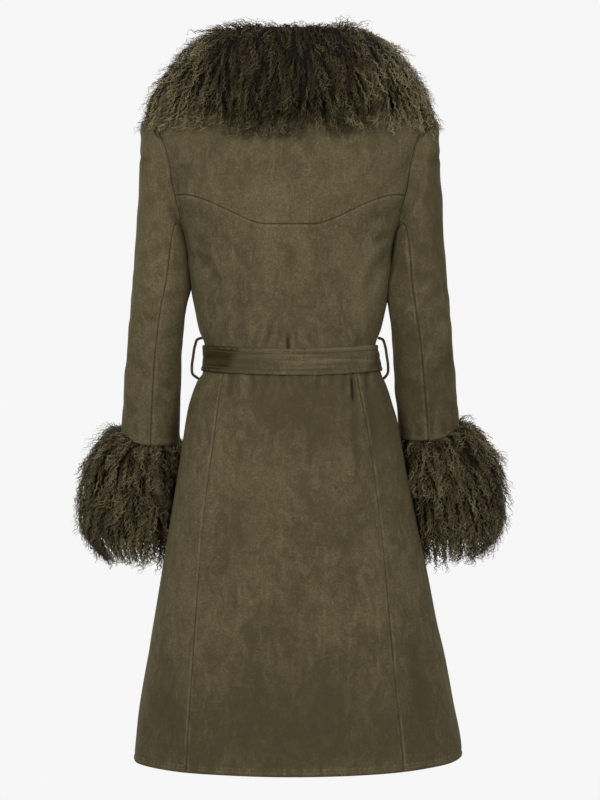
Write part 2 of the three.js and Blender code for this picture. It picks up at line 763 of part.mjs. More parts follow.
// Beside the throat it turns over from standing to lying.
function throatStation(side) {
  const at = (x, y, z) => new THREE.Vector3(side * x, y, z);
  const start = frontTurn(frontEdge(0) + 1, 0);
  const under = UNDER_STEPS.map((t) => {
    return { w: side * mix(start, THROAT_TURN, t), z: THROAT_LOW * t };
  });
  const top = [
    at(215, -44, -58),
    at(216, -60, -30),
    at(203, -76, 2),
    at(180, -80, 31),
    at(147, -67, 50),
    at(115, -47, 58),
    at(96, -38, 46),
    at(86, -30, 24),
  ];
  return { under, top };
}

function shawlStation(side, row) {
  const start = frontTurn(frontEdge(row.edge) + 2, row.edge);
  const place = (t) => ({ w: side * mix(start, row.outer, t), z: mix(row.edge, row.low, t) });
  const lay = (t, height) => onBody(place(t).w, place(t).z, height);
  const under = UNDER_STEPS.map(place);
  const top = [
    lay(1.06, row.pile * 0.25 + 2),
    lay(1, row.pile * 0.6),
    lay(0.85, row.pile * 0.88),
    lay(0.62, row.pile),
    lay(0.38, row.pile),
    lay(0.15, row.pile * 0.85),
    lay(0.0, row.pile * 0.6),
    lay(-0.05, row.pile * 0.25 + 1),
  ];
  return { under, top };
}

function collarStations(side) {
  const neck = [15, 30, 45, 60, 75, 90].map((degrees) => neckStation(side, degrees));
  return [...neck, throatStation(side), ...SHAWL.map((row) => shawlStation(side, row))];
}

function collarLoop(under, top) {
  const laid = under.map(({ w, z }, i) => onBody(w, z, i === 0 ? SEAM_CLEAR : COLLAR_CLEAR));
  return [...laid, ...top];
}

// The loops of all stations and one half way between each two, on a smooth curve through four of
// them, its underside laid on the body again.
const NEAR_SHARE = 9 / 16;
const FAR_SHARE = -1 / 16;
function finer(stations) {
  const loops = [];
  for (let i = 0; i < stations.length - 1; i += 1) {
    const before = stations[Math.max(i - 1, 0)];
    const here = stations[i];
    const next = stations[i + 1];
    const after = stations[Math.min(i + 2, stations.length - 1)];
    const under = here.under.map((at, j) => {
      return { w: mix(at.w, next.under[j].w, 0.5), z: mix(at.z, next.under[j].z, 0.5) };
    });
    const top = here.top.map((point, j) => {
      const middle = point.clone().add(next.top[j]).multiplyScalar(NEAR_SHARE);
      return middle.addScaledVector(before.top[j], FAR_SHARE).addScaledVector(after.top[j], FAR_SHARE);
    });
    loops.push(collarLoop(here.under, here.top));
    loops.push(collarLoop(under, top));
  }
  const last = stations[stations.length - 1];
  loops.push(collarLoop(last.under, last.top));
  return loops;
}
const leftStations = collarStations(1).reverse();
const stations = [...leftStations, neckStation(1, 0), ...collarStations(-1)];
add("fur_collar", loopGeometry(finer(stations), false), FUR);

// ---- Belt ----
function beltLevel(w) {
  const turn = (w * Math.PI) / 2;
  const end = Math.cos(turn) >= 0 ? BELT_Z_BACK : BELT_Z_FRONT;
  return mix(BELT_Z_SIDE, end, Math.cos(turn) ** 2);
}

function onBelt(w, across, height) {
  const z = beltLevel(w) + across;
  const lift = OVERLAP_LIFT * smoothstep((Math.abs(w) - LIFT_FROM) / (LIFT_TO - LIFT_FROM));
  return bodyPoint(w, z).addScaledVector(bodyNormal(w, z), lift + BELT_CLEAR + height);
}
const beltRows = spread(-BELT_WIDTH / 2, BELT_WIDTH / 2, 2);
const beltTurns = spread(-2, 2, 40).slice(0, 40);
const beltOuter = beltRows.map((across) => beltTurns.map((w) => onBelt(w, across, BELT_THICK)));
const beltInner = beltRows.map((across) => beltTurns.map((w) => onBelt(w, across, 0)));
add("belt_band", wallGeometry(beltOuter, beltInner, true), BELT_SUEDE);

// The knot is a soft block in front of the band.
const KNOT = { wide: 76, tall: 50, deep: 28, waist: 0.12, end: 0.12 };
function knotGeometry() {
  const back = onBelt(2, 0, BELT_THICK).y - SEAM_GAP;
  const loops = spread(-1, 1, 8).map((t) => {
    const end = Math.sqrt(Math.max(1 - Math.abs(t) ** 3, KNOT.end));
    const waist = 1 - KNOT.waist * (1 - t * t);
    return spread(0, 1, 16).slice(0, 16).map((turn) => {
      const angle = turn * 2 * Math.PI;
      const y = back - (KNOT.deep / 2) * (1 + end * powered(Math.sin(angle), 0.7));
      const z = BELT_Z_FRONT + (KNOT.tall / 2) * end * waist * powered(Math.cos(angle), 0.8);
      return new THREE.Vector3((KNOT.wide / 2) * t, y, z);
    });
  });
  return loopGeometry(loops, false);
}
add("belt_knot", knotGeometry(), BELT_SUEDE);

// Each tail hangs down the front of the skirt.
function tailGeometry(x0, x1, length) {
  const top = BELT_Z_FRONT - (KNOT.tall / 2) * (1 - KNOT.waist) - TAIL_DROP;
  const rows = spread(0, 1, 12).map((t) => {
    const z = top - length * t;
    const middle = mix(x0, x1, smoothstep(t * 1.1));
    return spread(-BELT_WIDTH / 2, BELT_WIDTH / 2, 3).map((across) => {
      return { w: frontTurn(middle + across, z), z };
    });
  });
  const lay = (w, z, height) => {
    return bodyPoint(w, z).addScaledVector(bodyNormal(w, z), foldOut(w, z) + height);
  };
  const laid = (height) => rows.map((row) => row.map(({ w, z }) => lay(w, z, height)));
  return wallGeometry(laid(TAIL_CLEAR + BELT_THICK), laid(TAIL_CLEAR));
}
const TAIL_START = 22;
const LEFT_TAIL_END = 52;
const RIGHT_TAIL_END = 66;
add("belt_tail_left", tailGeometry(TAIL_START, LEFT_TAIL_END, LEFT_TAIL_LENGTH), BELT_SUEDE);
add("belt_tail_right", tailGeometry(-TAIL_START, -RIGHT_TAIL_END, RIGHT_TAIL_LENGTH), BELT_SUEDE);

// Belt loops stand off the side seams and bow round the belt.
const LOOP_PATH = table("x z", [
  [142, -399.5],
  [148, -402],
  [152, -412],
  [155, -430],
  [157, -446],
  [156, -457],
  [151, -465],
]);
function loopStrip(side) {
  const path = LOOP_PATH.map((row) => new THREE.Vector3(side * row.x, 0, row.z));
  for (const end of [path[0], path[path.length - 1]]) {
    end.x = section.shift(end.z) + side * (section.wide(end.z) + LOOP_THICK / 2 + LOOP_SEAT);
  }
  const loops = path.map((point, i) => {
    const before = path[Math.max(i - 1, 0)];
    const after = path[Math.min(i + 1, path.length - 1)];
    const along = after.clone().sub(before).normalize();
    const out = new THREE.Vector3(-along.z, 0, along.x);
    const wide = new THREE.Vector3(0, LOOP_WIDTH / 2, 0);
    return [[1, 1], [1, -1], [-1, -1], [-1, 1]].map(([o, y]) =>
      point.clone().addScaledVector(out, (o * LOOP_THICK) / 2).addScaledVector(wide, y),
    );
  });
  return loopGeometry(loops, false);
}
add("belt_loop_left", loopStrip(1), BELT_SUEDE);
add("belt_loop_right", loopStrip(-1), BELT_SUEDE);

export default coat;
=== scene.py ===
import math
from types import SimpleNamespace

import bpy
import numpy as np
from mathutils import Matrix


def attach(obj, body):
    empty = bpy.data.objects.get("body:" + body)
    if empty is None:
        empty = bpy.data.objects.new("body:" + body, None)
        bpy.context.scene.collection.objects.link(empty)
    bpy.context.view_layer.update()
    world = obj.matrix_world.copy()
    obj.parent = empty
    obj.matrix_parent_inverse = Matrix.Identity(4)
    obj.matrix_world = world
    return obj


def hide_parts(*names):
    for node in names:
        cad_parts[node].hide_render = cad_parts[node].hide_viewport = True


# A belted long coat of suede with a curly fur collar and fur cuffs.
# Shapes are worked out in millimetres and made in metres; +Z is up, the front faces -Y.

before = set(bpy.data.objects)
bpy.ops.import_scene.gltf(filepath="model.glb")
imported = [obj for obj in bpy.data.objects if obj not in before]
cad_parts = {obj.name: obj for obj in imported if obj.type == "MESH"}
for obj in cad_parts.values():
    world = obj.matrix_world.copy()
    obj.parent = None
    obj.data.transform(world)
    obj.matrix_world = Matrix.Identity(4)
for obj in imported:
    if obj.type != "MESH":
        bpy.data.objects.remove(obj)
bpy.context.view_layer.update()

MM = 0.001
VIEW_DISTANCE = 3400
VIEW_X = -16
VIEW_Z = -499
VIEW_TALL = 1280
SENSOR = 36

# ---- Driving sizes of the coat ----
WALL = 2
NECK_Z = 6
ARMHOLE_TOP, ARMHOLE_BOTTOM = -50, -243
ARMHOLE_MIDDLE = (ARMHOLE_TOP + ARMHOLE_BOTTOM) / 2
ARMHOLE_HALF = (ARMHOLE_TOP - ARMHOLE_BOTTOM) / 2
WAIST_Z, HEM_Z = -435, -1072
HEM_RISE, HEM_RISE_FROM = 6, -900
BELT_WIDE, BELT_THICK, BELT_CLEAR = 42, 3, 1.5
BELT_Z_SIDE, BELT_Z_BACK, BELT_Z_FRONT = -432, -440.5, -436
TAIL_CLEAR, TAIL_DROP = 4.7, 0.4
STITCH_IN = 8
LOOP_SEAT, LOOP_HALF_THICK, LOOP_HALF_WIDE = 0.6, 2.2, 4
COLLAR_CLEAR = 4.5
HEM_LINE = 8.2
# The right front lies over the left one, from this place round the coat.
OVERLAP_LIFT, LIFT_FROM, LIFT_RUN = 4, 1.2, 0.4


def smoothstep(t):
    t = np.clip(t, 0, 1)
    return t * t * (3 - 2 * t)


def mix(a, b, t):
    return a + (b - a) * t


def powered(value, power):
    return np.sign(value) * np.abs(value) ** power


def unit(v):
    return v / np.maximum(np.linalg.norm(v, axis=-1, keepdims=True), 1e-9)


def smooth_curve(xs, ys):
    """A smooth curve through the points that never overshoots them."""
    x, y = np.array(xs, float), np.array(ys, float)
    if x[1] < x[0]:
        x, y = x[::-1], y[::-1]
    rise = np.diff(y) / np.diff(x)
    both = rise[:-1] * rise[1:]
    bend = np.where(both > 0, 2 * both / np.where(both > 0, rise[:-1] + rise[1:], 1), 0)
    slope = np.concatenate([rise[:1], bend, rise[-1:]])

    def curve(at):
        value = np.clip(at, x[0], x[-1])
        i = np.clip(np.searchsorted(x, value) - 1, 0, len(x) - 2)
        span = x[i + 1] - x[i]
        t = (value - x[i]) / span
        start = (1 + 2 * t) * (1 - t) ** 2 * y[i] + t * (1 - t) ** 2 * span * slope[i]
        end = t * t * (3 - 2 * t) * y[i + 1] + t * t * (t - 1) * span * slope[i + 1]
        return start + end

    return curve


def curves(names, rows):
    columns = list(zip(*rows))
    return SimpleNamespace(**{
        name: smooth_curve(columns[0], column) for name, column in zip(names.split(), columns)
    })


# Body sections: level, half width, sideways shift, reach back, reach front, roundness.
section = curves("z wide shift back front power", [
    (6, 78, 0, 56, 58, 1.7), (0, 92, 0, 58, 60, 1.75), (-15, 127, 0, 70, 68, 1.85),
    (-26, 160, 0, 77, 73, 1.95), (-38, 192, 0, 84, 77, 2.05), (-50, 222, 0, 91, 81, 2.15),
    (-88, 217, 0, 106, 98, 2.3), (-130, 203, 0, 114, 115, 2.25), (-180, 192, 0, 116, 130, 2.2),
    (-216, 178, 0, 113, 137, 2.15), (-243, 168, 0, 112, 141, 2.1), (-323, 158, 0, 104, 132, 2.1),
    (-355, 152, 0, 99, 122, 2.1), (-387, 145, 0, 96, 115, 2.1), (-412, 136.5, -0.5, 95, 111, 2.1),
    (-435, 138, -2.5, 95, 110, 2.1), (-458, 143, -2.8, 97, 112, 2.1), (-467, 148.5, -1.5, 102, 113, 2.1),
    (-499, 160, -1.5, 113, 116, 2.1), (-531, 168.5, -2.5, 122, 120, 2.1), (-600, 180, -3.5, 132, 126, 2.08),
    (-690, 196, -5, 139, 132, 2.06), (-787, 214.3, -7.8, 146, 140, 2.05), (-851, 225.3, -8.3, 152, 146, 2.05),
    (-915, 237.8, -10.4, 158, 152, 2.05), (-979, 249.3, -11.3, 164, 160, 2.05),
    (-1043, 259.8, -13.3, 170, 168, 2.05), (-1072, 262, -12.8, 172, 172, 2.05),
])
armhole = curves("z back front", [
    (-50, 222, 222), (-88, 201, 196), (-125, 191, 180), (-163, 185, 174),
    (-176, 182, 173), (-216, 172.5, 171), (-243, 168, 168),
])
front_edge = curves("z x", [(6, 72), (-40, 66), (-100, 54), (-200, 30), (-300, 3), (-435, -38)]).x
skirt_edge = curves("z x", [(-435, -38), (-560, -46), (-800, -54), (-1072, -60)]).x
princess = curves("z left right", [
    (-435, 102, -101.5), (-464, 105.5, -105.5), (-507, 112, -113.8), (-550, 117, -122),
    (-597, 123.5, -128.7), (-680, 133, -139), (-744, 137.5, -145.2), (-821, 142.5, -151),
    (-922, 148.5, -159.3), (-1031, 155, -170.3), (-1072, 157, -173),
])
sleeve = curves("s ox oz ix iz y deep twist", [
    (1, 236, -52, 168.9, -247, -7, 58, -3), (2, 238.5, -86, 168.5, -253, -4, 57, -6),
    (3, 241, -136, 167.6, -261, -3, 57, -10), (4, 244, -192, 166.2, -274, -2, 56, -14),
    (5, 247, -250, 163.8, -293, 0, 54, -18), (6, 250.5, -300, 162.6, -320, 2, 52, -22),
    (7, 255, -350, 167, -356, 3, 50, -26), (8, 262, -425, 173, -425, -8, 50, -30),
    (9, 269, -495, 177, -497, -28, 50, -31), (10, 272.5, -535, 178.5, -541, -42, 50, -31.5),
    (11, 274, -558, 179, -566, -50, 50, -32),
])
# Soft flares of the skirt: place round the coat, half width, depth, level where each starts.
SKIRT_FLARES = [
    (0.46, 0.14, 5, -560), (0.08, 0.17, 3.5, -620), (-0.38, 0.16, 5, -540), (-0.7, 0.11, 3, -700),
    (1.38, 0.16, 6, -560), (1.75, 0.13, 3, -650), (-1.42, 0.15, 6, -580), (-1.8, 0.13, 3, -640),
]


# ---- The body form: 0 the middle of the back, 1 the left side, 2 the middle of the front ----
FULL_TURN = 4


def body_point(w, z):
    w, z = np.broadcast_arrays(np.asarray(w, float), np.asarray(z, float))
    turn = w * math.pi / 2
    power = 2 / section.power(z)
    cos = np.cos(turn)
    reach = np.where(cos >= 0, section.back(z), section.front(z))
    x = section.shift(z) + section.wide(z) * powered(np.sin(turn), power)
    return np.stack([x, reach * powered(cos, power), z], -1)


def body_normal(w, z):
    along = body_point(w + 0.02, z) - body_point(w - 0.02, z)
    up = body_point(w, np.minimum(z + 2, NECK_Z)) - body_point(w, np.maximum(z - 2, HEM_Z))
    return unit(np.cross(up, along))


def flare_out(w, z):
    out = 0
    for at, half, deep, start in SKIRT_FLARES:
        away = (w - at + 2) % FULL_TURN - 2
        out = out + deep * smoothstep((start - z) / 320) * np.exp(-((away / half) ** 2))
    return out


def overlap_lift(w, z):
    over = OVERLAP_LIFT * smoothstep((-190 - z) / 90) * smoothstep((-w - LIFT_FROM) / LIFT_RUN)
    return np.where(w < 0, over, 0)


def on_body(w, z, height):
    out = flare_out(w, z) + overlap_lift(w, z) + height
    return body_point(w, z) + body_normal(w, z) * np.asarray(out)[..., None]


def turn_to(x, z):
    ratio = np.clip((x - section.shift(z)) / section.wide(z), -1, 1)
    return np.arcsin(powered(ratio, section.power(z) / 2)) * 2 / math.pi


def front_turn(x, z):
    return 2 - turn_to(x, z)


def back_end(z):
    """The side seam, or the armhole between its two ends."""
    in_armhole = (z < ARMHOLE_TOP) & (z > ARMHOLE_BOTTOM)
    return np.where(in_armhole, np.minimum(1, turn_to(armhole.back(z), z)), 1.0)


def front_end(z):
    in_armhole = (z < ARMHOLE_TOP) & (z > ARMHOLE_BOTTOM)
    return np.where(in_armhole, np.maximum(1, front_turn(armhole.front(z), z)), 1.0)


def armhole_level(k):
    return ARMHOLE_MIDDLE + ARMHOLE_HALF * np.cos(k * math.pi / 10)


# ---- Meshes ----
def make_piece(name, points, faces, finishes, face_finish=None, floats=None):
    """A mesh object from points in millimetres and faces of any size."""
    mesh = bpy.data.meshes.new(name)
    counts = np.array([len(face) for face in faces], np.int32)
    corners = np.concatenate([np.asarray(face, np.int32) for face in faces])
    fill_mesh(mesh, points, corners, counts, floats)
    return finish_piece(name, mesh, finishes, face_finish)


def fill_mesh(mesh, points, corners, counts, floats=None, spots=None):
    mesh.vertices.add(len(points))
    mesh.vertices.foreach_set("co", (np.asarray(points, np.float64) * MM).ravel())
    mesh.loops.add(len(corners))
    mesh.loops.foreach_set("vertex_index", corners)
    mesh.polygons.add(len(counts))
    starts = np.concatenate([[0], np.cumsum(counts)[:-1]])
    mesh.polygons.foreach_set("loop_start", starts.astype(np.int32))
    mesh.polygons.foreach_set("loop_total", counts)
    mesh.polygons.foreach_set("use_smooth", np.full(len(counts), True))
    for key, values in (floats or {}).items():
        layer = mesh.attributes.new(key, "FLOAT", "POINT")
        layer.data.foreach_set("value", np.asarray(values, np.float32).ravel())
    if spots is not None:
        layer = mesh.uv_layers.new(name="OFBake")
        layer.data.foreach_set("uv", np.asarray(spots, np.float32)[corners].ravel())
    mesh.update(calc_edges=True)
    mesh.validate()


def finish_piece(name, mesh, finishes, face_finish=None):
    for finish in finishes:
        mesh.materials.append(finish)
    if face_finish is not None:
        mesh.polygons.foreach_set("material_index", np.asarray(face_finish, np.int32))
    piece = bpy.data.objects.new(name, mesh)
    bpy.context.scene.collection.objects.link(piece)
    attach(piece, "root")
    return piece


def stations_along(length, step, near=(0.7, 1.7, 3, 5)):
    """Fractions along a length, closer together beside both ends."""
    near = np.array(near)
    inner = np.linspace(8, length - 8, max(int(round((length - 16) / step)), 2) + 1)
    return np.concatenate([[0], near, inner, length - near[::-1], [length]]) / length


def away_from(points, sides):
    """Distance of each grid point from the nearest of the named sides, over the surface."""
    down = np.linalg.norm(np.diff(points, axis=0), axis=-1)
    across = np.linalg.norm(np.diff(points, axis=1), axis=-1)
    down = np.concatenate([np.zeros((1, points.shape[1])), np.cumsum(down, axis=0)])
    across = np.concatenate([np.zeros((points.shape[0], 1)), np.cumsum(across, axis=1)], axis=1)
    found = {
        "first": down, "last": down[-1:] - down,
        "start": across, "end": across[:, -1:] - across,
    }
    return np.min([found[side] for side in sides], axis=0)


def grid_faces(rows, columns, closed=False):
    i, j = np.meshgrid(np.arange(rows - 1), np.arange(columns if closed else columns - 1), indexing="ij")
    k = (j + 1) % columns
    here, below = i * columns, (i + 1) * columns
    return np.stack([here + j, here + k, below + k, below + j], -1).reshape(-1, 4)


def capped_faces(rows, columns):
    """Faces of a tube of closed rings, with a lid at both ends."""
    first = list(range(columns))[::-1]
    last = list(range((rows - 1) * columns, rows * columns))
    return [*grid_faces(rows, columns, True).tolist(), first, last]


def lowest_near(values, reach):
    padded = np.pad(values, reach, mode="edge")
    rows, columns = values.shape
    shifts = range(2 * reach + 1)
    return np.min([padded[a:a + rows, b:b + columns] for a in shifts for b in shifts], axis=0)


def shell(name, points, normals, relief, finishes, floats, stride=3, wall=WALL):
    """A thin shell: a fine outside, a coarser inside one wall deeper, and rims between them."""
    rows, columns = relief.shape
    outer = points + normals * relief[..., None]
    pick_row = sorted({*range(0, rows, stride), rows - 1})
    pick_column = sorted({*range(0, columns, stride), columns - 1})
    depth = lowest_near(relief, stride)[np.ix_(pick_row, pick_column)]
    inner = (points[np.ix_(pick_row, pick_column)]
             + normals[np.ix_(pick_row, pick_column)] * (depth - wall)[..., None])
    start = rows * columns
    wide = len(pick_column)
    faces = grid_faces(rows, columns)
    inner_faces = grid_faces(len(pick_row), wide)[:, ::-1] + start
    probe = faces[len(faces) // 2]
    flat = outer.reshape(-1, 3)
    facing = np.cross(flat[probe[1]] - flat[probe[0]], flat[probe[3]] - flat[probe[0]])
    flip = np.dot(facing, normals.reshape(-1, 3)[probe[0]]) < 0
    rims = []

    def rim(outer_line, inner_line, picks, turned):
        for a, b, low, high in zip(picks[:-1], picks[1:], inner_line[:-1], inner_line[1:]):
            face = [low, high, *outer_line[a:b + 1][::-1]]
            rims.append(face if turned else face[::-1])

    ids = np.arange(rows * columns).reshape(rows, columns)
    inner_ids = np.arange(len(pick_row) * wide).reshape(-1, wide) + start
    rim(list(ids[0]), inner_ids[0], pick_column, True)
    rim(list(ids[-1]), inner_ids[-1], pick_column, False)
    rim(list(ids[:, 0]), inner_ids[:, 0], pick_row, False)
    rim(list(ids[:, -1]), inner_ids[:, -1], pick_row, True)
    every = [*faces.tolist(), *inner_faces.tolist(), *rims]
    if flip:
        every = [face[::-1] for face in every]
    inside = np.zeros(len(every), int)
    if len(finishes) > 1:
        inside[len(faces):len(faces) + len(inner_faces)] = 1
    floats = {
        key: np.concatenate([value.ravel(), value[np.ix_(pick_row, pick_column)].ravel()])
        for key, value in floats.items()
    }
    return make_piece(name, np.concatenate([flat, inner.reshape(-1, 3)]), every, finishes,
                      face_finish=inside, floats=floats)


# ---- Creases, troughs and ridges laid one by one ----
def crease(x, z, path, half, deep, fade=None):
    """A soft trough (deep below 0) or ridge along a path, fading at both ends."""
    path = np.array(path, float)
    steps = np.diff(path, axis=0)
    lengths = np.linalg.norm(steps, axis=1)
    starts = np.concatenate([[0], np.cumsum(lengths)])
    best = np.full(np.shape(x), 1e9)
    along = np.zeros(np.shape(x))
    for (px, pz), (sx, sz), length, start in zip(path, steps, lengths, starts):
        t = np.clip(((x - px) * sx + (z - pz) * sz) / length ** 2, 0, 1)
        away = np.hypot(x - px - t * sx, z - pz - t * sz)
        nearer = away < best
        best = np.where(nearer, away, best)
        along = np.where(nearer, start + t * length, along)
    fade = fade or starts[-1] * 0.35
    ends = smoothstep((along + half) / fade) * smoothstep((starts[-1] + half - along) / fade)
    beside = 0.3 * np.exp(-(((best - 2.1 * half) / half) ** 2))
    return deep * ends * (np.exp(-((best / half) ** 2)) - beside)


# Path in millimetres across and up, half width, depth.
BACK_CREASES = [
    ([(4, -394), (3.4, -422)], 3, -3.4),
    ([(39, -414), (33, -392), (27, -366)], 4, -1.4), ([(22, -414), (17, -398), (12, -380)], 3.5, -1.2),
    ([(-13, -414), (-8, -398), (-7, -384)], 3.5, -1.1), ([(60, -414), (50, -390), (44, -372)], 4.5, -1.1),
    ([(-38, -414), (-31, -398)], 4, -1), ([(82, -412), (78, -380), (84, -330)], 9, -1.8),
    ([(-88, -414), (-90, -360), (-84, -300)], 12, -2.2), ([(34, -196), (34, -360)], 9, 0.9),
    ([(112, -410), (104, -372)], 6, -1.4), ([(-112, -410), (-102, -376)], 6, -1.5),
    ([(160, -262), (132, -286), (112, -318)], 8, -2), ([(-160, -262), (-136, -292), (-124, -330)], 8, -2.2),
    ([(156, -240), (138, -252)], 5, -1.2), ([(-156, -236), (-136, -246)], 5, -1.2),
    ([(176, -196), (146, -205), (118, -222)], 9, -1.1), ([(-176, -190), (-150, -206), (-126, -214)], 8, -1),
    ([(184, -120), (160, -140), (146, -168)], 9, -1.1), ([(-186, -126), (-166, -150), (-152, -172)], 9, -1.2),
    ([(70, -120), (20, -134), (-30, -128)], 16, -0.8), ([(20, -168), (60, -176)], 12, 0.8),
    ([(-62, -330), (-52, -260)], 14, -1.2), ([(6, -300), (-4, -240)], 16, -0.9),
    ([(-98.4, -456), (-101, -478), (-103, -506)], 3.2, -3.4),
    ([(-102, -490), (-105, -560), (-113, -640)], 5, -1.2),
    ([(-106, -456), (-112, -476)], 3, 1.6), ([(-122, -456), (-126, -482)], 3.5, -1.8),
    ([(-88, -458), (-86, -482)], 3.4, -1.5), ([(76, -458), (74, -496)], 5, 1.3),
    ([(60, -458), (57, -484)], 3.5, -1.4), ([(38, -458), (36, -478)], 3, -1.1),
    ([(12, -458), (10, -480)], 3.2, -1.2), ([(-16, -458), (-18, -474)], 3, -1),
    ([(-46, -458), (-44, -486)], 3.6, -1.3), ([(-68, -458), (-66, -476)], 3, -1.1),
    ([(94, -458), (98, -492)], 4, -1.6), ([(-122, -470), (-134, -520), (-140, -580)], 8, -1.8),
    ([(118, -476), (132, -520), (136, -590)], 9, -1.6), ([(30, -500), (24, -620), (30, -720)], 22, -1.6),
    ([(-44, -540), (-50, -640)], 18, -1.4), ([(86, -620), (96, -760)], 20, -1.6),
    ([(-96, -700), (-104, -900)], 20, -1.8), ([(-6, -760), (-10, -960)], 24, -1.6),
    ([(62, -840), (70, -1040)], 20, -1.8), ([(-60, -900), (-66, -1060)], 18, -1.6),
    ([(196, -900), (206, -1040)], 14, -2), ([(-204, -860), (-222, -1040)], 14, -2.2),
]
FRONT_CREASES = [
    ([(70, -414), (62, -380), (54, -330)], 8, -2), ([(-72, -412), (-66, -376), (-70, -330)], 8, -2),
    ([(104, -412), (100, -384)], 5, -1.5), ([(-108, -412), (-98, -380)], 6, -1.5),
    ([(40, -412), (30, -386)], 4, -1.3), ([(-44, -412), (-34, -392)], 4, -1.2),
    ([(156, -256), (128, -282), (112, -312)], 8, -2.2), ([(-158, -260), (-134, -290), (-116, -322)], 8, -2),
    ([(164, -210), (140, -226)], 7, -1.4), ([(-164, -206), (-144, -218)], 7, -1.3),
    ([(86, -458), (90, -500), (98, -570)], 7, -2.4), ([(-84, -458), (-92, -506), (-104, -600)], 7, -2.6),
    ([(116, -470), (128, -520)], 6, -1.6), ([(-114, -470), (-130, -528)], 6, -1.5),
    ([(24, -500), (16, -600)], 12, -1.4), ([(-118, -640), (-132, -800)], 18, -2),
    ([(110, -660), (124, -840)], 18, -2), ([(52, -760), (56, -980)], 20, -1.8),
    ([(-88, -860), (-96, -1040)], 18, -2), ([(180, -880), (196, -1040)], 14, -2),
    ([(-186, -860), (-206, -1040)], 14, -2.2), ([(10, -900), (6, -1060)], 16, -1.6),
]
SLEEVE_BACK_CREASES = [
    ([(230, -54), (216, -68), (203, -87)], 2.4, -3.4), ([(206, -60), (204, -74), (199, -90)], 2.6, -1.3),
    ([(238, -110), (226, -118)], 5, -1.3), ([(196, -150), (212, -176), (228, -190)], 9, -1.4),
    ([(186, -226), (200, -252), (222, -268)], 9, -1.6), ([(172, -280), (196, -300), (224, -306)], 9, -1.8),
    ([(170, -330), (190, -338), (212, -334)], 7, -1.4), ([(252, -318), (232, -330), (214, -350)], 8, -1.5),
    ([(254, -366), (236, -372), (214, -368)], 8, -1.3), ([(176, -392), (196, -404), (220, -410)], 9, -1.3),
    ([(262, -436), (244, -446), (226, -464)], 9, -1.2), ([(182, -470), (200, -486), (214, -508)], 9, -1.1),
    ([(268, -506), (250, -520)], 7, -1), ([(226, -556), (225, -530)], 4, -1.5),
    ([(206, -556), (208, -540)], 4, -1), ([(248, -552), (246, -536)], 4, -0.9),
]
SLEEVE_FRONT_CREASES = [
    ([(224, -60), (206, -80)], 4, -1.4), ([(182, -232), (204, -250), (230, -252)], 9, -1.8),
    ([(172, -288), (198, -296), (226, -288)], 9, -2), ([(168, -336), (194, -342), (230, -332)], 8, -2.2),
    ([(172, -372), (196, -380), (232, -376)], 8, -1.8), ([(178, -424), (204, -424), (236, -436)], 10, -1.4),
    ([(184, -490), (208, -480)], 9, -1.2), ([(250, -520), (232, -500)], 8, -1.2),
]


# For the shade, creases wider than this count for less, by this power; their lines are painted as shade in
# the creases.
SHARP_HALF, SHARP_POWER, LINE_SHADE = 4.2, 1.4, 0.42


def seen_square_on(points):
    """Where points are seen from straight behind or in front, level with the belt."""
    near = VIEW_DISTANCE / (VIEW_DISTANCE - np.abs(points[..., 1]))
    return (points[..., 0] - VIEW_X) * near + VIEW_X, (points[..., 2] - VIEW_Z) * near + VIEW_Z


def lay_creases(points, creases, side=1, sharp=0):
    """Depth of all the creases; with sharp above 0 the wide ones count for less."""
    x, z = seen_square_on(points)
    return sum(crease(side * x, z, path, half, deep * min(1, SHARP_HALF / half) ** sharp)
               for path, half, deep in creases)


def folds_and_lines(points, away, behind, back_creases, front_creases, side=1):
    """Depth of the creases, once in full for the relief and once with the sharp ones for the shade."""
    off_seam = smoothstep((away + 2) / 7)
    depths = []
    for sharp in (0, SHARP_POWER):
        at_back = lay_creases(points, back_creases, side, sharp)
        at_front = lay_creases(points, front_creases, side, sharp)
        depths.append(off_seam * (behind * at_back + (1 - behind) * at_front))
    return depths


def patches(points, marks):
    """Soft darker (above 0) and lighter (below 0) places: the brushed nap, and painted shade where a mark
    stands for shade.
    """
    x, z = seen_square_on(points)
    out = 0 * x
    for at_x, at_z, half_x, half_z, amount in marks:
        out = out + amount * np.exp(-(((x - at_x) / half_x) ** 2) - ((z - at_z) / half_z) ** 2)
    return out


def slow_waves(points, seed, size=70, high=0.7):
    """Gentle unevenness of soft cloth."""
    dice = np.random.default_rng(seed)
    out = 0
    for _ in range(9):
        way = unit(dice.normal(size=3) * (1, 1, 0.7))
        length = size * dice.uniform(0.6, 1.6)
        phase = dice.uniform(0, 6.3)
        out = out + np.sin(points @ way * 2 * math.pi / length + phase) * dice.uniform(0.5, 1)
    return out * high / 3


def seam_roll(away, deep=0.8):
    """Cloth rolls into a seam, with a soft ridge where the allowance lies beneath."""
    return -deep * np.exp(-((away / 1.3) ** 2)) + 0.4 * np.exp(-(((away - 5) / 2.4) ** 2))
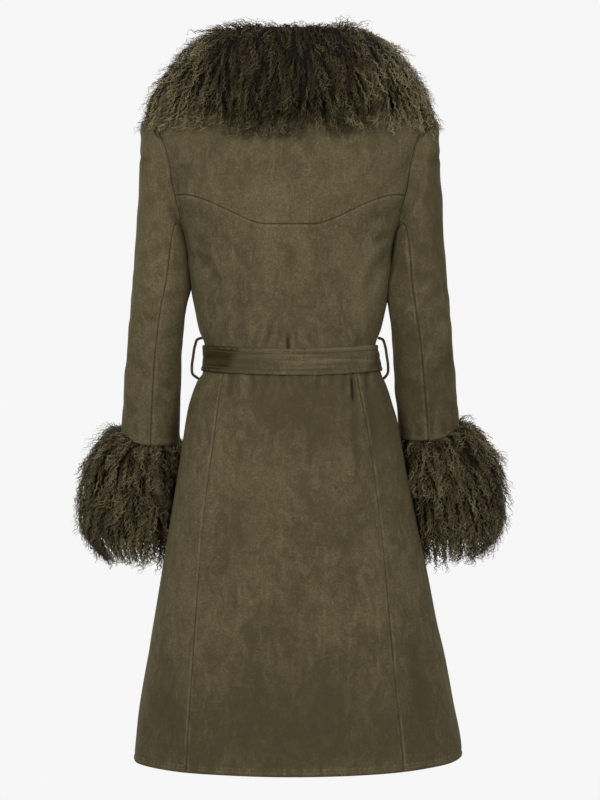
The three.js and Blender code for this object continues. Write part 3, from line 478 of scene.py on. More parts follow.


# Places of the brushed nap, with painted shadow among them, under the belt at (0, -470) and (0, -522) and
# just below the collar at (0, -70): across, up, half width, half height, how much darker.
BACK_NAP_AND_SHADE = [
    (0, -470, 170, 76, 0.62), (-40, -560, 90, 40, 0.3), (0, -1030, 300, 100, 0.4),
    (0, -700, 150, 120, 0.12), (-235, -1000, 40, 110, 0.12), (225, -1000, 36, 110, 0.1),
    (-150, -500, 20, 60, 0.3), (150, -500, 20, 60, 0.15), (70, -500, 14, 60, -0.25),
    (-70, -700, 60, 50, 0.3),
    (80, -690, 30, 60, 0.3), (40, -600, 70, 30, -0.15), (30, -870, 26, 40, 0.12), (-10, -940, 150, 110, 0.25),
    (0, -1060, 220, 50, 0.25), (120, -560, 22, 110, -0.3), (170, -700, 20, 120, -0.22),
    (-130, -560, 30, 80, 0.3), (-170, -680, 26, 160, 0.25), (-200, -960, 40, 130, 0.3),
    (190, -980, 36, 100, 0.25), (60, -180, 80, 40, -0.2), (-60, -150, 70, 40, -0.1),
    (34, -260, 16, 100, -0.25), (-110, -250, 30, 80, 0.05), (110, -240, 34, 60, 0.2),
    (120, -340, 20, 60, 0.1), (-105, -330, 34, 70, -0.3),
    (0, -70, 200, 22, 0.3), (-120, -110, 50, 30, 0.2), (130, -110, 40, 30, 0.15),
    (236, -120, 16, 14, 0.5), (-240, -120, 16, 24, 0.55), (-236, -220, 14, 60, 0.35),
    (-226, -160, 16, 30, 0.25), (206, -300, 16, 60, -0.15), (232, -200, 16, 60, -0.1),
    (-210, -300, 24, 40, 0.2), (-250, -440, 18, 30, 0.4), (-136, -300, 26, 60, -0.32),
    (136, -300, 24, 50, -0.15), (0, -522, 90, 40, 0.16), (0, -980, 180, 70, 0.12),
    (184, -850, 30, 110, -0.2), (-224, -500, 26, 26, 0.3), (-196, -400, 14, 50, 0.2),
    (220, -450, 30, 60, -0.1), (246, -400, 14, 60, 0.15),
]
# In front, the mark at (0, -480) is painted shadow under the belt.
FRONT_NAP_AND_SHADE = [
    (0, -480, 130, 60, 0.3), (60, -620, 60, 60, 0.25), (-80, -700, 60, 80, 0.25), (110, -560, 24, 90, -0.25),
    (-120, -560, 24, 90, -0.2), (0, -960, 160, 80, 0.3), (90, -360, 40, 60, 0.2), (-90, -360, 40, 60, 0.25),
    (-60, -820, 50, 90, -0.2), (70, -860, 50, 80, -0.15),
]


def hem_fold(away):
    """The hem is turned up, so its edge is round and a fine line shows above it."""
    return (-0.9 * np.exp(-((away / 1) ** 2)) + 0.5 * (1 - smoothstep((away - 6.5) / 1.5))
            - 0.45 * np.exp(-(((away - HEM_LINE) / 1) ** 2)))


# ---- Materials ----
class Nodes:
    """A node tree. `node` adds any node; a Tone is one of its sockets and can be reckoned with."""

    def __init__(self, tree):
        self.tree = tree
        self.tree.nodes.clear()

    def node(self, kind, settings=None, sockets=None, out=0):
        made = self.tree.nodes.new(kind)
        for key, value in (settings or {}).items():
            setattr(made, key, value)
        for key, value in (sockets or {}).items():
            if isinstance(value, Tone):
                self.tree.links.new(value.socket, made.inputs[key])
            else:
                made.inputs[key].default_value = value
        return Tone(self, made.outputs[out]) if len(made.outputs) else None


class Finish(Nodes):
    """One material."""

    def __init__(self, name, preview):
        self.material = bpy.data.materials.new(name)
        self.material.use_nodes = True
        self.material.diffuse_color = (*preview, 1)
        super().__init__(self.material.node_tree)
        self.place = self.node("ShaderNodeTexCoord", out="Object")

    def noise(self, scale, detail=2, rough=0.5, stretch=(1, 1, 1), twist=0.0):
        place = self.node("ShaderNodeVectorMath", {"operation": "MULTIPLY"}, {0: self.place, 1: stretch})
        return self.node("ShaderNodeTexNoise", None, {
            "Vector": place, "Scale": scale, "Detail": detail, "Roughness": rough, "Distortion": twist})

    def blend(self, share, under, over):
        return self.node("ShaderNodeMix", {"data_type": "RGBA"}, {0: share, 6: under, 7: over}, out=2)

    def band(self, value, low, high):
        """0 below low, 1 above high, smooth between."""
        return self.node("ShaderNodeMapRange", {"interpolation_type": "SMOOTHSTEP"}, {
            "Value": value, "From Min": low, "From Max": high})

    def note(self, key):
        return self.node("ShaderNodeAttribute", {"attribute_name": key}, out="Fac")

    def skin(self, **sockets):
        named = {key.replace("_", " "): value for key, value in sockets.items()}
        shader = self.node("ShaderNodeBsdfPrincipled", None, named)
        self.node("ShaderNodeOutputMaterial", None, {"Surface": shader})
        return self.material

    def bump(self, height, strength, depth, under=None):
        sockets = {"Height": height, "Strength": strength, "Distance": depth}
        if under is not None:
            sockets["Normal"] = under
        return self.node("ShaderNodeBump", None, sockets)


class Tone:
    """A socket's value; arithmetic on it adds Math nodes."""

    def __init__(self, nodes, socket):
        self.nodes, self.socket = nodes, socket

    def reckon(self, operation, first, second):
        return self.nodes.node("ShaderNodeMath", {"operation": operation}, {0: first, 1: second})

    def __add__(self, other):
        return self.reckon("ADD", self, other)

    def __radd__(self, other):
        return self.reckon("ADD", other, self)

    def __sub__(self, other):
        return self.reckon("SUBTRACT", self, other)

    def __rsub__(self, other):
        return self.reckon("SUBTRACT", other, self)

    def __mul__(self, other):
        return self.reckon("MULTIPLY", self, other)

    def __rmul__(self, other):
        return self.reckon("MULTIPLY", other, self)

    def __mod__(self, other):
        return self.reckon("FLOORED_MODULO", self, other)


def suede(name, deep, plain, light, grain=None):
    """Napped suede: cloudy brushed patches, a fine short nap, darker seams, lighter worn ridges, and painted
    shade and light from the shade note.
    """
    coat = Finish(name, plain)
    clouds = coat.noise(13, 4, 0.6, (1, 1, 0.8), 0.5)
    blots = coat.noise(46, 5, 0.68, (1, 1, 0.6), 0.9)
    streaks = coat.noise(150, 3, 0.62, (1, 1, 0.2))
    weft = coat.noise(210, 3, 0.62, (0.2, 0.2, 1))
    nap = coat.noise(330, 4, 0.8)
    fibre = coat.noise(1300, 2, 0.6, (1, 1, 0.5))
    shade = coat.note("shade")
    dark = coat.band(clouds * 0.35 + blots * 0.65 - shade * 0.12, 0.58, 0.36)
    colour = coat.blend(dark * 0.7, (*plain, 1), (*deep, 1))
    bright = coat.band(blots * 0.5 + streaks * 0.5, 0.48, 0.66)
    colour = coat.blend(bright * 0.5, colour, (*light, 1))
    speck = coat.band(nap * 0.8 + fibre * 0.2, 0.40, 0.58)
    colour = coat.blend(coat.band(nap * 0.75 + weft * 0.25, 0.52, 0.64) * 0.45, colour, (*light, 1))
    # The shade note paints light below 0 and shade above 0.
    colour = coat.blend(coat.band(0 - shade, 0, 0.6) * 0.6, colour, (*light, 1))
    colour = coat.blend(coat.band(shade, 0, 0.95) * 0.8, colour, (*deep, 1))
    colour = coat.blend((1 - speck) * 0.55, colour, (*deep, 1))
    seam = coat.note("seam")
    dim = (deep[0] * 0.42, deep[1] * 0.36, deep[2] * 0.26, 1)
    colour = coat.blend((1 - coat.band(seam, 0.3, 1.3)) * 0.6, colour, dim)
    # Where the shade note passes 1.1, the painted shade goes down to dim.
    colour = coat.blend(coat.band(shade + blots * 0.6, 1.1, 2.2) * 0.95, colour, dim)
    worn = coat.band(seam, 1.6, 3) * (1 - coat.band(seam, 3.4, 6)) * coat.band(streaks, 0.4, 0.6)
    colour = coat.blend(worn * 0.45, colour, (*light, 1))
    height = nap * 0.6 + fibre * 0.25 + weft * 0.15
    if grain:
        row = coat.note("stitch")
        line = 1 - coat.band(row * row, 0.2, 1.1)
        thread = line * coat.band(coat.note("along") % 4.2, 0.7, 1.2)
        brushed = coat.noise(130, 3, 0.6, grain)
        # Lighter brushed streaks, held back where shade is painted.
        colour = coat.blend(coat.band(brushed, 0.5, 0.63) * (1 - coat.band(shade, 0.3, 1.3)) * 0.42, colour,
                            (*light, 1))
        colour = coat.blend((1 - coat.band(brushed, 0.37, 0.5)) * 0.45, colour, (*deep, 1))
        colour = coat.blend(line * 0.6, colour, dim)
        colour = coat.blend(thread * 0.3, colour, (*light, 1))
        height = height + thread * 0.9 - line * 0.8
    relief = coat.bump(blots, 0.35, 0.004, coat.bump(height, 0.7, 0.0011))
    return coat.skin(Base_Color=colour, Roughness=0.95 - speck * 0.06, Normal=relief,
                     Sheen_Weight=0.1, Sheen_Roughness=0.5, Sheen_Tint=(0.6, 0.5, 0.3, 1),
                     Specular_IOR_Level=0.06)


def fur_hair(name, root, middle, tip):
    """Curly lamb hair: dark at the root, partly as painted shade deep in the pile, warmer and lighter to the
    tip, each hair its own tone.
    """
    hair = Finish(name, middle)
    along, tone = hair.note("along"), hair.note("tone")
    colour = hair.blend(hair.band(along, 0.02, 0.6), (*root, 1), (*middle, 1))
    colour = hair.blend(hair.band(along, 0.45, 1) * 0.75 * tone, colour, (*tip, 1))
    colour = hair.blend(hair.band(tone, 0.9, 1.5) * 0.55, colour, (*tip, 1))
    cloudy = hair.band(hair.noise(26, 3, 0.6), 0.4, 0.62)
    rust = hair.band(hair.noise(60, 3, 0.6, (1, 1, 0.4)), 0.5, 0.6)
    colour = hair.blend(rust * 0.45, colour, (middle[0] * 1.02, middle[1] * 0.86, middle[2] * 0.9, 1))
    colour = hair.blend((1 - tone) * 0.7 + (1 - cloudy) * 0.22, colour, (*root, 1))
    fine = hair.noise(900, 2, 0.6)
    return hair.skin(Base_Color=colour, Roughness=0.62 - tone * 0.1, Normal=hair.bump(fine, 0.3, 0.0004),
                     Sheen_Weight=0.05, Sheen_Roughness=0.4, Sheen_Tint=(0.6, 0.48, 0.3, 1),
                     Specular_IOR_Level=0.14, Specular_Tint=(1, 0.88, 0.66, 1))


def fur_ground(name, root, middle):
    """The dense dark under-fur between the curls; its near black is partly painted shade deep in the pile."""
    ground = Finish(name, root)
    curls = ground.noise(190, 4, 0.65, (1, 1, 0.5), 1.6)
    colour = ground.blend(ground.band(curls, 0.42, 0.68) * 0.6, (*root, 1), (*middle, 1))
    return ground.skin(Base_Color=colour, Roughness=0.85 + curls * 0.1,
                       Normal=ground.bump(curls, 0.9, 0.004), Specular_IOR_Level=0.15)


SUEDE_DEEP, SUEDE_PLAIN, SUEDE_LIGHT = (0.060, 0.048, 0.024), (0.116, 0.095, 0.050), (0.162, 0.136, 0.073)
coat_suede = suede("coat_suede", SUEDE_DEEP, SUEDE_PLAIN, SUEDE_LIGHT)
BELT_TONES = (0.062, 0.050, 0.025), (0.112, 0.092, 0.049), (0.152, 0.128, 0.070)
belt_suede = suede("belt_suede_round", *BELT_TONES, (0.07, 0.07, 1))
belt_suede_hung = suede("belt_suede_hung", *BELT_TONES, (1, 1, 0.07))
inside_suede = suede("suede_inside", (0.045, 0.038, 0.022), (0.070, 0.059, 0.034), (0.088, 0.075, 0.045))
lamb_hair = fur_hair("lamb_hair", (0.011, 0.0085, 0.0038), (0.100, 0.080, 0.038), (0.27, 0.225, 0.122))
lamb_ground = fur_ground("lamb_ground", (0.008, 0.006, 0.003), (0.026, 0.020, 0.010))


# ---- Camera, light and floor ----
def set_camera():
    data = bpy.data.cameras.new("camera")
    data.sensor_width = SENSOR
    data.lens = SENSOR * VIEW_DISTANCE / VIEW_TALL
    data.clip_end = 50
    camera = bpy.data.objects.new("camera", data)
    camera.location = (VIEW_X * MM, VIEW_DISTANCE * MM, VIEW_Z * MM)
    camera.rotation_euler = (math.pi / 2, 0, math.pi)
    bpy.context.scene.collection.objects.link(camera)
    bpy.context.scene.camera = camera


def soft_light(name, place, aim, size, power):
    data = bpy.data.lights.new(name, "AREA")
    data.shape, data.size, data.size_y, data.energy = "RECTANGLE", size[0], size[1], power
    lamp = bpy.data.objects.new(name, data)
    lamp.location = place
    way = np.array(aim, float) - np.array(place, float)
    yaw = math.atan2(way[1], way[0])
    pitch = math.atan2(-way[2], math.hypot(way[0], way[1]))
    lamp.rotation_euler = (math.pi / 2 - pitch, 0, yaw - math.pi / 2)
    bpy.context.scene.collection.objects.link(lamp)


BACKGROUND, ROOM_LIGHT = 0.93, 0.45
FLOOR_REACH, FLOOR_DROP = 40, 22


def set_studio():
    scene = bpy.context.scene
    scene.view_settings.view_transform = "Standard"
    world = bpy.data.worlds.new("studio")
    scene.world = world
    world.use_nodes = True
    sky = Nodes(world.node_tree)
    pale, room = (BACKGROUND,) * 3, (ROOM_LIGHT,) * 3
    seen = sky.node("ShaderNodeBackground", None, {"Color": (*pale, 1)})
    lit = sky.node("ShaderNodeBackground", None, {"Color": (*room, 1)})
    camera_ray = sky.node("ShaderNodeLightPath", out="Is Camera Ray")
    both = sky.node("ShaderNodeMixShader", None, {0: camera_ray, 1: lit, 2: seen})
    sky.node("ShaderNodeOutputWorld", None, {"Surface": both})
    soft_light("key", (1.5, 3.2, 1.3), (0, 0, -0.35), (1.4, 1.4), 74)
    soft_light("fill", (-1.9, 2.9, 0.5), (0, 0, -0.5), (1.6, 1.8), 36)
    soft_light("front_key", (-1.4, -3, 1.2), (0, 0, -0.45), (1.6, 1.8), 50)
    soft_light("front_fill", (1.8, -2.9, 0.4), (0, 0, -0.5), (1.6, 1.8), 36)
    floor_finish = Finish("floor_pale", pale)
    glow = floor_finish.node("ShaderNodeEmission", None, {"Color": (*pale, 1), "Strength": 1})
    floor_finish.node("ShaderNodeOutputMaterial", None, {"Surface": glow})
    mesh = bpy.data.meshes.new("floor")
    level = (HEM_Z - FLOOR_DROP) * MM
    corners = [(x * FLOOR_REACH, y * FLOOR_REACH, level) for x, y in ((-1, -1), (1, -1), (1, 1), (-1, 1))]
    mesh.from_pydata(corners, [], [(0, 1, 2, 3)])
    mesh.materials.append(floor_finish.material)
    floor = bpy.data.objects.new("floor", mesh)
    floor.visible_diffuse = floor.visible_glossy = False
    scene.collection.objects.link(floor)


set_camera()
set_studio()

# ---- Body panels ----
STEP, SKIRT_STEP = 4.6, 5.2
BACK_WIDE, FRONT_WIDE, FRONT_TALL, SKIRT_TALL = 380, 200, 460, 640


def panel(name, w, z, seams, hem=False, seed=1):
    """A panel of the body from its grid of places; seams are the sides that are sewn."""
    points = on_body(w, z, 0)
    normals = body_normal(w, z)
    away = away_from(points, seams)
    behind = smoothstep((normals[..., 1] + 0.35) / 0.5)
    folds, lines = folds_and_lines(points, away, behind, BACK_CREASES, FRONT_CREASES)
    relief = 1.7 * folds + slow_waves(points, seed) * smoothstep(away / 9) + seam_roll(away)
    if hem:
        relief = relief + hem_fold(away_from(points, ["last"]))
    seam = away
    if hem:
        seam = np.minimum(away + 0.4 + 0.3 * np.sin(points[..., 2] / 41),
                          np.abs(away_from(points, ["last"]) - HEM_LINE) + 1.1)
    # The marks give nap tone and painted shade; the crease lines are painted shade in the creases.
    nap = BACK_NAP_AND_SHADE if points[..., 1].mean() > -20 else FRONT_NAP_AND_SHADE
    shade = patches(points, nap) - LINE_SHADE * lines
    piece = shell(name, points, normals, relief, [coat_suede, inside_suede], {"seam": seam, "shade": shade})
    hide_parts(name)
    lay_flat(points)
    return piece


def lay_flat(points):
    """Works out the cut of a cloth panel laid flat: width, length and area in metres, without its few longest
    lines; the values are not kept.
    """
    row = np.quantile(np.linalg.norm(np.diff(points, axis=1), axis=-1).sum(1), 0.85) * MM
    column = np.quantile(np.linalg.norm(np.diff(points, axis=0), axis=-1).sum(0), 0.75) * MM
    across = np.cross(points[1:, 1:] - points[:-1, :-1], points[:-1, 1:] - points[1:, :-1])
    area = np.linalg.norm(across, axis=-1).sum() / 2 * MM * MM
    area = min(area, row * column)


def yoke_dip(x):
    return smoothstep((175 - np.abs(x)) / 135)


def back_rows(levels, dips, length):
    """Rows across the back between its ends, each with its dip in the middle."""
    knots = np.arange(len(levels))
    level_of, dip_of = smooth_curve(knots, levels), smooth_curve(knots, dips)
    fine = np.interp(stations_along(length, STEP), np.linspace(0, 1, 200),
                     even_knots(level_of, len(levels)))
    t = stations_along(BACK_WIDE, STEP) * 2 - 1
    levels, dips = level_of(fine), dip_of(fine)
    w = back_end(levels)[:, None] * t[None, :]
    z = levels[:, None] - dips[:, None] * yoke_dip(body_point(w, levels[:, None])[..., 0])
    return w, z


def even_knots(level_of, count):
    """Knot numbers that are evenly spaced in level."""
    knots = np.linspace(0, count - 1, 400)
    levels = level_of(knots)
    order = np.argsort(levels)
    return np.interp(np.linspace(levels[0], levels[-1], 200), levels[order], knots[order])


YOKE_SEAM = armhole_level(6)
bodice_levels = [WAIST_Z, -414, -390, -358, -322, -283,
                 *[armhole_level(k) for k in (10, 9, 8, 7)], YOKE_SEAM]
bodice_dips = [0, 0, 0, 0, 0, 17, 34, 29, 29, 38, 50]
w, z = back_rows(bodice_levels, bodice_dips, 260)
panel("back_bodice", w, z, ["first", "last", "start", "end"], seed=2)
yoke_levels = [YOKE_SEAM, *[armhole_level(k) for k in (5, 4, 3, 2, 1, 0)], -38, -26, -15, -3, NECK_Z]
yoke_dips = [50, 28, 12, 3, 0, 0, 0, 0, 0, 0, 0, 0]
w, z = back_rows(yoke_levels, yoke_dips, 190)
back_yoke = panel("back_yoke", w, z, ["first", "last", "start", "end"], seed=3)


def front_panel(side, name):
    levels = mix(WAIST_Z, NECK_Z, stations_along(FRONT_TALL, STEP))
    edge = front_edge(levels) + (2 * section.shift(levels) if side < 0 else 0)
    t = stations_along(FRONT_WIDE, STEP)
    w = side * mix(front_end(levels)[:, None], front_turn(edge, levels)[:, None], t[None, :])
    return panel(name, w, np.broadcast_to(levels[:, None], w.shape), ["first", "start"],
                 seed=5 + side)


front_bodice_left = front_panel(1, "front_bodice_left")
front_bodice_right = front_panel(-1, "front_bodice_right")


def skirt_panel(name, start, end, wide, seams, seed):
    levels = mix(WAIST_Z, HEM_Z, stations_along(SKIRT_TALL, SKIRT_STEP))
    t = stations_along(wide, SKIRT_STEP)
    w = mix(start(levels)[:, None], end(levels)[:, None], t[None, :])
    right = np.maximum(0, -np.sin(w * math.pi / 2))
    rise = HEM_RISE * right ** 2 * smoothstep((HEM_RISE_FROM - levels) / (HEM_RISE_FROM - HEM_Z))[:, None]
    panel(name, w, levels[:, None] + rise, seams, hem=True, seed=seed)


def left_princess(z):
    return turn_to(princess.left(z), z)


def right_princess(z):
    return turn_to(princess.right(z), z)


def right_side_seam(z):
    return -back_end(z)


def right_side_seam_in_front(z):
    return -front_end(z)


def left_skirt_edge(z):
    return front_turn(skirt_edge(z), z)


def right_skirt_edge(z):
    return front_turn(-skirt_edge(z), z) - FULL_TURN


ABOVE_HEM = ["first", "start", "end"]
TO_FRONT_EDGE = ["first", "start"]
skirt_panel(
    "back_skirt", right_princess, left_princess, 280, ABOVE_HEM, 11)
skirt_panel(
    "side_skirt_left", left_princess, back_end, 150, ABOVE_HEM, 12)
skirt_panel(
    "side_skirt_right", right_princess, right_side_seam, 150, ABOVE_HEM, 13)
skirt_panel(
    "front_skirt_left", front_end, left_skirt_edge, 330, TO_FRONT_EDGE, 14)
skirt_panel(
    "front_skirt_right", right_side_seam_in_front, right_skirt_edge, 330, TO_FRONT_EDGE,
    15)


# ---- Sleeves ----
SLEEVE_RINGS, SLEEVE_PARTS = 11, 20
# The long seams that bound each piece, counted in parts of the way round.
TOP_SLEEVE, UNDER_SLEEVE = (13, 27), (7, 13)
SEAM_BEND, BEND_FADE = 1.9, 0.75
HEAD_TUCK, HEAD_SINK = 6.5, 1.2
RIGHT_SLEEVE_SHIFT = 8


def armhole_point(side, angle):
    z = ARMHOLE_MIDDLE + ARMHOLE_HALF * np.cos(angle)
    w = side * np.where(np.sin(angle) >= 0, turn_to(armhole.back(z), z), front_turn(armhole.front(z), z))
    return on_body(w, z, 0)


def sleeve_ring(side, s, angle):
    if s == 0:
        return armhole_point(side, angle)
    to_cuff = smoothstep((s - 8) / 3)
    low = smoothstep((s - 5) / 2) * (1 - 0.6 * smoothstep((s - 8) / 2.5))
    right = RIGHT_SLEEVE_SHIFT if side < 0 else 0
    turned = angle + math.radians(sleeve.twist(s))
    share = (1 + np.cos(turned)) / 2
    x = mix(sleeve.ix(s) - right * low, sleeve.ox(s), share)
    y = sleeve.y(s) + sleeve.deep(s) * np.sin(turned)
    z = mix(sleeve.iz(s), sleeve.oz(s), share) - 9 * to_cuff * np.sin(turned) + right * to_cuff
    return np.stack([side * x, y, z], -1)


def cubic(t, span, start, end, start_slope, end_slope):
    """A smooth step from start to end that leaves and arrives with the given slopes."""
    return ((1 + 2 * t) * (1 - t) ** 2 * start + t * (1 - t) ** 2 * span * start_slope
            + t * t * (3 - 2 * t) * end + t * t * (t - 1) * span * end_slope)


def through_rings(rings, at):
    """A smooth surface through the rings, each step as long as its rings are apart."""
    gaps = np.maximum(np.linalg.norm(np.diff(rings, axis=0), axis=-1), 1e-6)[..., None]
    slopes = np.diff(rings, axis=0) / gaps
    inner = (slopes[:-1] * gaps[1:] + slopes[1:] * gaps[:-1]) / (gaps[:-1] + gaps[1:])
    tangents = np.concatenate([slopes[:1], inner, slopes[-1:]])
    i = np.clip(at.astype(int), 0, len(rings) - 2)
    t = (at - i)[:, None, None]
    return cubic(t, gaps[i], rings[i], rings[i + 1], tangents[i], tangents[i + 1])


def sleeve_piece(side, name, first, last, wide, seed):
    """Columns run from one long seam to the other."""
    share = stations_along(wide, STEP)
    columns = mix(first, last, share)
    # Near the armhole both long seams bend in under the arm.
    bend = (2 * share - 1) * (SEAM_BEND if "top" in name else -SEAM_BEND)
    rings = np.stack([
        sleeve_ring(side, s, (columns + bend * math.exp(-s * BEND_FADE)) * 2 * math.pi / SLEEVE_PARTS)
        for s in range(SLEEVE_RINGS + 1)
    ])
    middle = rings[:, len(columns) // 2]
    run = np.concatenate([[0], np.cumsum(np.linalg.norm(np.diff(middle, axis=0), axis=-1))])
    at = np.interp(stations_along(run[-1], STEP) * run[-1], run, np.arange(SLEEVE_RINGS + 1))
    points = through_rings(rings, at)
    down = np.gradient(points, axis=0)
    across = np.gradient(points, axis=1)
    normals = unit(np.cross(down, across) * side)
    away = away_from(points, ["start", "end"])
    end = away_from(points, ["last"])
    level = points[..., 2]
    head = away_from(points, ["first"])
    seam = away + 2.5 * smoothstep((14 - head) / 10)
    if "top" in name:
        seam = np.minimum(seam, np.maximum(head - 4.2, 0) + 0.2)
    tuck = smoothstep((9 - head) / 9)[..., None]
    points = points - unit(down) * HEAD_TUCK * tuck - normals * HEAD_SINK * tuck ** 2
    # The inner side swells against the body below the armhole.
    beside = smoothstep((-side * normals[..., 0] + 0.1) / 0.6)
    low = -366 if side > 0 else -378
    swell = 5.2 * beside * smoothstep((-206 - level) / 30) * smoothstep((level - low) / 62)
    points = points + normals * swell[..., None]
    behind = smoothstep((normals[..., 1] + 0.3) / 0.5)
    folds, lines = folds_and_lines(points, away, behind, SLEEVE_BACK_CREASES, SLEEVE_FRONT_CREASES, side)
    relief = 1.1 * folds + slow_waves(points, seed, 55, 0.8) * smoothstep(away / 9) + seam_roll(away)
    relief = relief + 1.6 * smoothstep((14 - end) / 14)
    relief = relief - 0.6 * np.exp(-((end / 0.9) ** 2))
    # Nap tone and painted shade from the marks behind, lighter towards the sleeve's end, painted shade along
    # the crease lines; the right sleeve is painted darker and the left lighter, as the key light falls from
    # the left.
    shade = patches(points, BACK_NAP_AND_SHADE) * behind - 0.25 * smoothstep((16 - end) / 12) - LINE_SHADE * lines
    shade = shade + (0.22 if side < 0 else -0.16)
    piece = shell(name, points, normals, relief, [coat_suede, inside_suede], {"seam": seam, "shade": shade})
    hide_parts(*[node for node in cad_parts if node.startswith(name)])
    lay_flat(points)
    return piece


sleeves = {}
for side_name, side in (("left", 1), ("right", -1)):
    top, under = f"{side_name}_top_sleeve", f"{side_name}_under_sleeve"
    sleeves[top] = sleeve_piece(side, top, *TOP_SLEEVE, 260, 20 + side)
    sleeves[under] = sleeve_piece(side, under, *UNDER_SLEEVE, 110, 30 + side)


# ---- Belt ----
def belt_level(w):
    cos = np.cos(w * math.pi / 2)
    return mix(BELT_Z_SIDE, np.where(cos >= 0, BELT_Z_BACK, BELT_Z_FRONT), cos ** 2)


def on_belt(w, across, height):
    z = belt_level(w) + across
    lift = OVERLAP_LIFT * smoothstep((np.abs(w) - LIFT_FROM) / LIFT_RUN)
    return body_point(w, z) + body_normal(w, z) * np.asarray(lift + BELT_CLEAR + height)[..., None]


def strap_relief(along, across, seed):
    """Turned edges, two rows of stitching and a few long soft wrinkles."""
    dice = np.random.default_rng(seed)
    edge = BELT_WIDE / 2 - np.abs(across)
    out = -1.1 * np.exp(-((edge / 1.3) ** 2)) - 0.5 * np.exp(-(((edge - STITCH_IN) / 0.9) ** 2))
    for _ in range(26):
        start, length = dice.uniform(0, along.max()), dice.uniform(60, 150)
        lane, lean, half = dice.uniform(-16, 16), dice.uniform(-0.05, 0.05), dice.uniform(1.8, 4)
        t = (along - start) / length
        body = smoothstep(t / 0.3) * smoothstep((1 - t) / 0.3) * ((t > 0) & (t < 1))
        beside = (across - lane - lean * (along - start)) / half
        out = out - dice.uniform(0.3, 0.9) * body * np.exp(-(beside ** 2))
    return out


def belt_notes(along, across, shade=0.0):
    edge = BELT_WIDE / 2 - np.abs(across)
    return {"seam": edge + 0.8, "stitch": edge - STITCH_IN, "along": along, "shade": shade + 0 * along}


def make_band():
    turns = np.linspace(-2, 2, 281)[:-1]
    lanes = np.array([-21, -20.4, -19.4, -18, -15.8, -14.2, -13, -11.8, -9, -6, -3, 0,
                      3, 6, 9, 11.8, 13, 14.2, 15.8, 18, 19.4, 20.4, 21])
    w, across = np.meshgrid(turns, lanes)
    outer = on_belt(w, across, BELT_THICK)
    ring = outer[len(lanes) // 2]
    along = np.concatenate([[0], np.cumsum(np.linalg.norm(np.diff(ring, axis=0), axis=-1))])
    along = np.broadcast_to(along, w.shape)
    relief = strap_relief(along, across, 41)
    close = smoothstep(along / 20) * smoothstep((along.max() - along) / 20)
    edge = BELT_WIDE / 2 - np.abs(across)
    relief = np.where(edge < 1.5, relief, relief * mix(0.4, 1, close))
    outer = on_belt(w, across, BELT_THICK + relief)
    inner = on_belt(w, across, 0)
    rows, columns = w.shape
    faces = grid_faces(rows, columns, True)
    back = faces[:, ::-1] + rows * columns
    j = np.arange(columns)
    k = (j + 1) % columns
    low = np.stack([j, j + rows * columns, k + rows * columns, k], -1)
    last = (rows - 1) * columns
    high = np.stack([j + last, k + last, k + last + rows * columns, j + last + rows * columns], -1)
    every = np.concatenate([faces, back, low, high])
    facing = np.cross(outer[0, 1] - outer[0, 0], outer[1, 0] - outer[0, 0])
    if np.dot(facing, body_normal(turns[0], BELT_Z_FRONT)) < 0:
        every = every[:, ::-1]
    # Painted shade along the belt: deep over the stretch at the left (+X), darker at the right end (-X)
    # beside the loop, a little lighter near the middle.
    x = outer[..., 0] + 0.35 * across
    left = (0.6 * smoothstep((x - 15) / 60) + 2.1 * smoothstep((x - 72) / 52)) * (outer[..., 1] > 0)
    shade = 0.15 + left - 0.1 * np.exp(-(((x + 20) / 60) ** 2)) + 1.1 * smoothstep((-x - 122) / 18)
    notes = {key: np.concatenate([value.ravel(), value.ravel()])
             for key, value in belt_notes(along, across, shade).items()}
    piece = make_piece("belt_band", np.concatenate([outer.reshape(-1, 3), inner.reshape(-1, 3)]),
                       every, [belt_suede], floats=notes)
    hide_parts("belt_band")


make_band()

KNOT_WIDE, KNOT_TALL, KNOT_DEEP, KNOT_WAIST = 76, 50, 28, 0.12


def make_knot():
    """The tie: a soft pad of wrapped belt with folds that fan out from its waist."""
    back = on_belt(np.array(2.0), np.array(0.0), BELT_THICK)[1] - 0.3
    t, turn = np.meshgrid(np.linspace(-1, 1, 49), np.linspace(0, 1, 73)[:-1], indexing="ij")
    end = np.sqrt(np.maximum(1 - np.abs(t) ** 3, 0.12))
    waist = 1 - KNOT_WAIST * (1 - t * t)
    angle = turn * 2 * math.pi
    wrap = 0.9 * np.sin(angle * 7 + 1.5 * t + 0.6 * np.sin(9 * t)) * (1 - 0.5 * np.abs(t))
    band = 1.6 * np.exp(-((t / 0.34) ** 4)) - 1.4 * np.exp(-(((np.abs(t) - 0.42) / 0.06) ** 2))
    front = smoothstep(np.sin(angle) + 0.4)
    grow = 1 + (wrap * 0.5 + band) * front / (KNOT_DEEP / 2)
    y = back - KNOT_DEEP / 2 * (1 + end * powered(np.sin(angle), 0.7) * grow)
    z = BELT_Z_FRONT + KNOT_TALL / 2 * end * waist * powered(np.cos(angle), 0.8) * (1 + wrap * 0.012)
    points = np.stack([KNOT_WIDE / 2 * t, y, z], -1)
    rows, columns = t.shape
    faces = capped_faces(rows, columns)
    facing = np.cross(points[24, 19] - points[24, 18], points[25, 18] - points[24, 18])
    if facing[1] > 0:
        faces = [face[::-1] for face in faces]
    # Painted shade on the knot: darker than the belt, most in the grooves beside its middle wrap, lighter on
    # the raised wrap.
    quiet = {"seam": np.full(t.shape, 12.0), "stitch": np.full(t.shape, 9.0), "along": angle * 10,
             "shade": 0.6 - band * 0.3}
    piece = make_piece("belt_knot", points.reshape(-1, 3), faces, [belt_suede], floats=quiet)
    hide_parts("belt_knot")


make_knot()


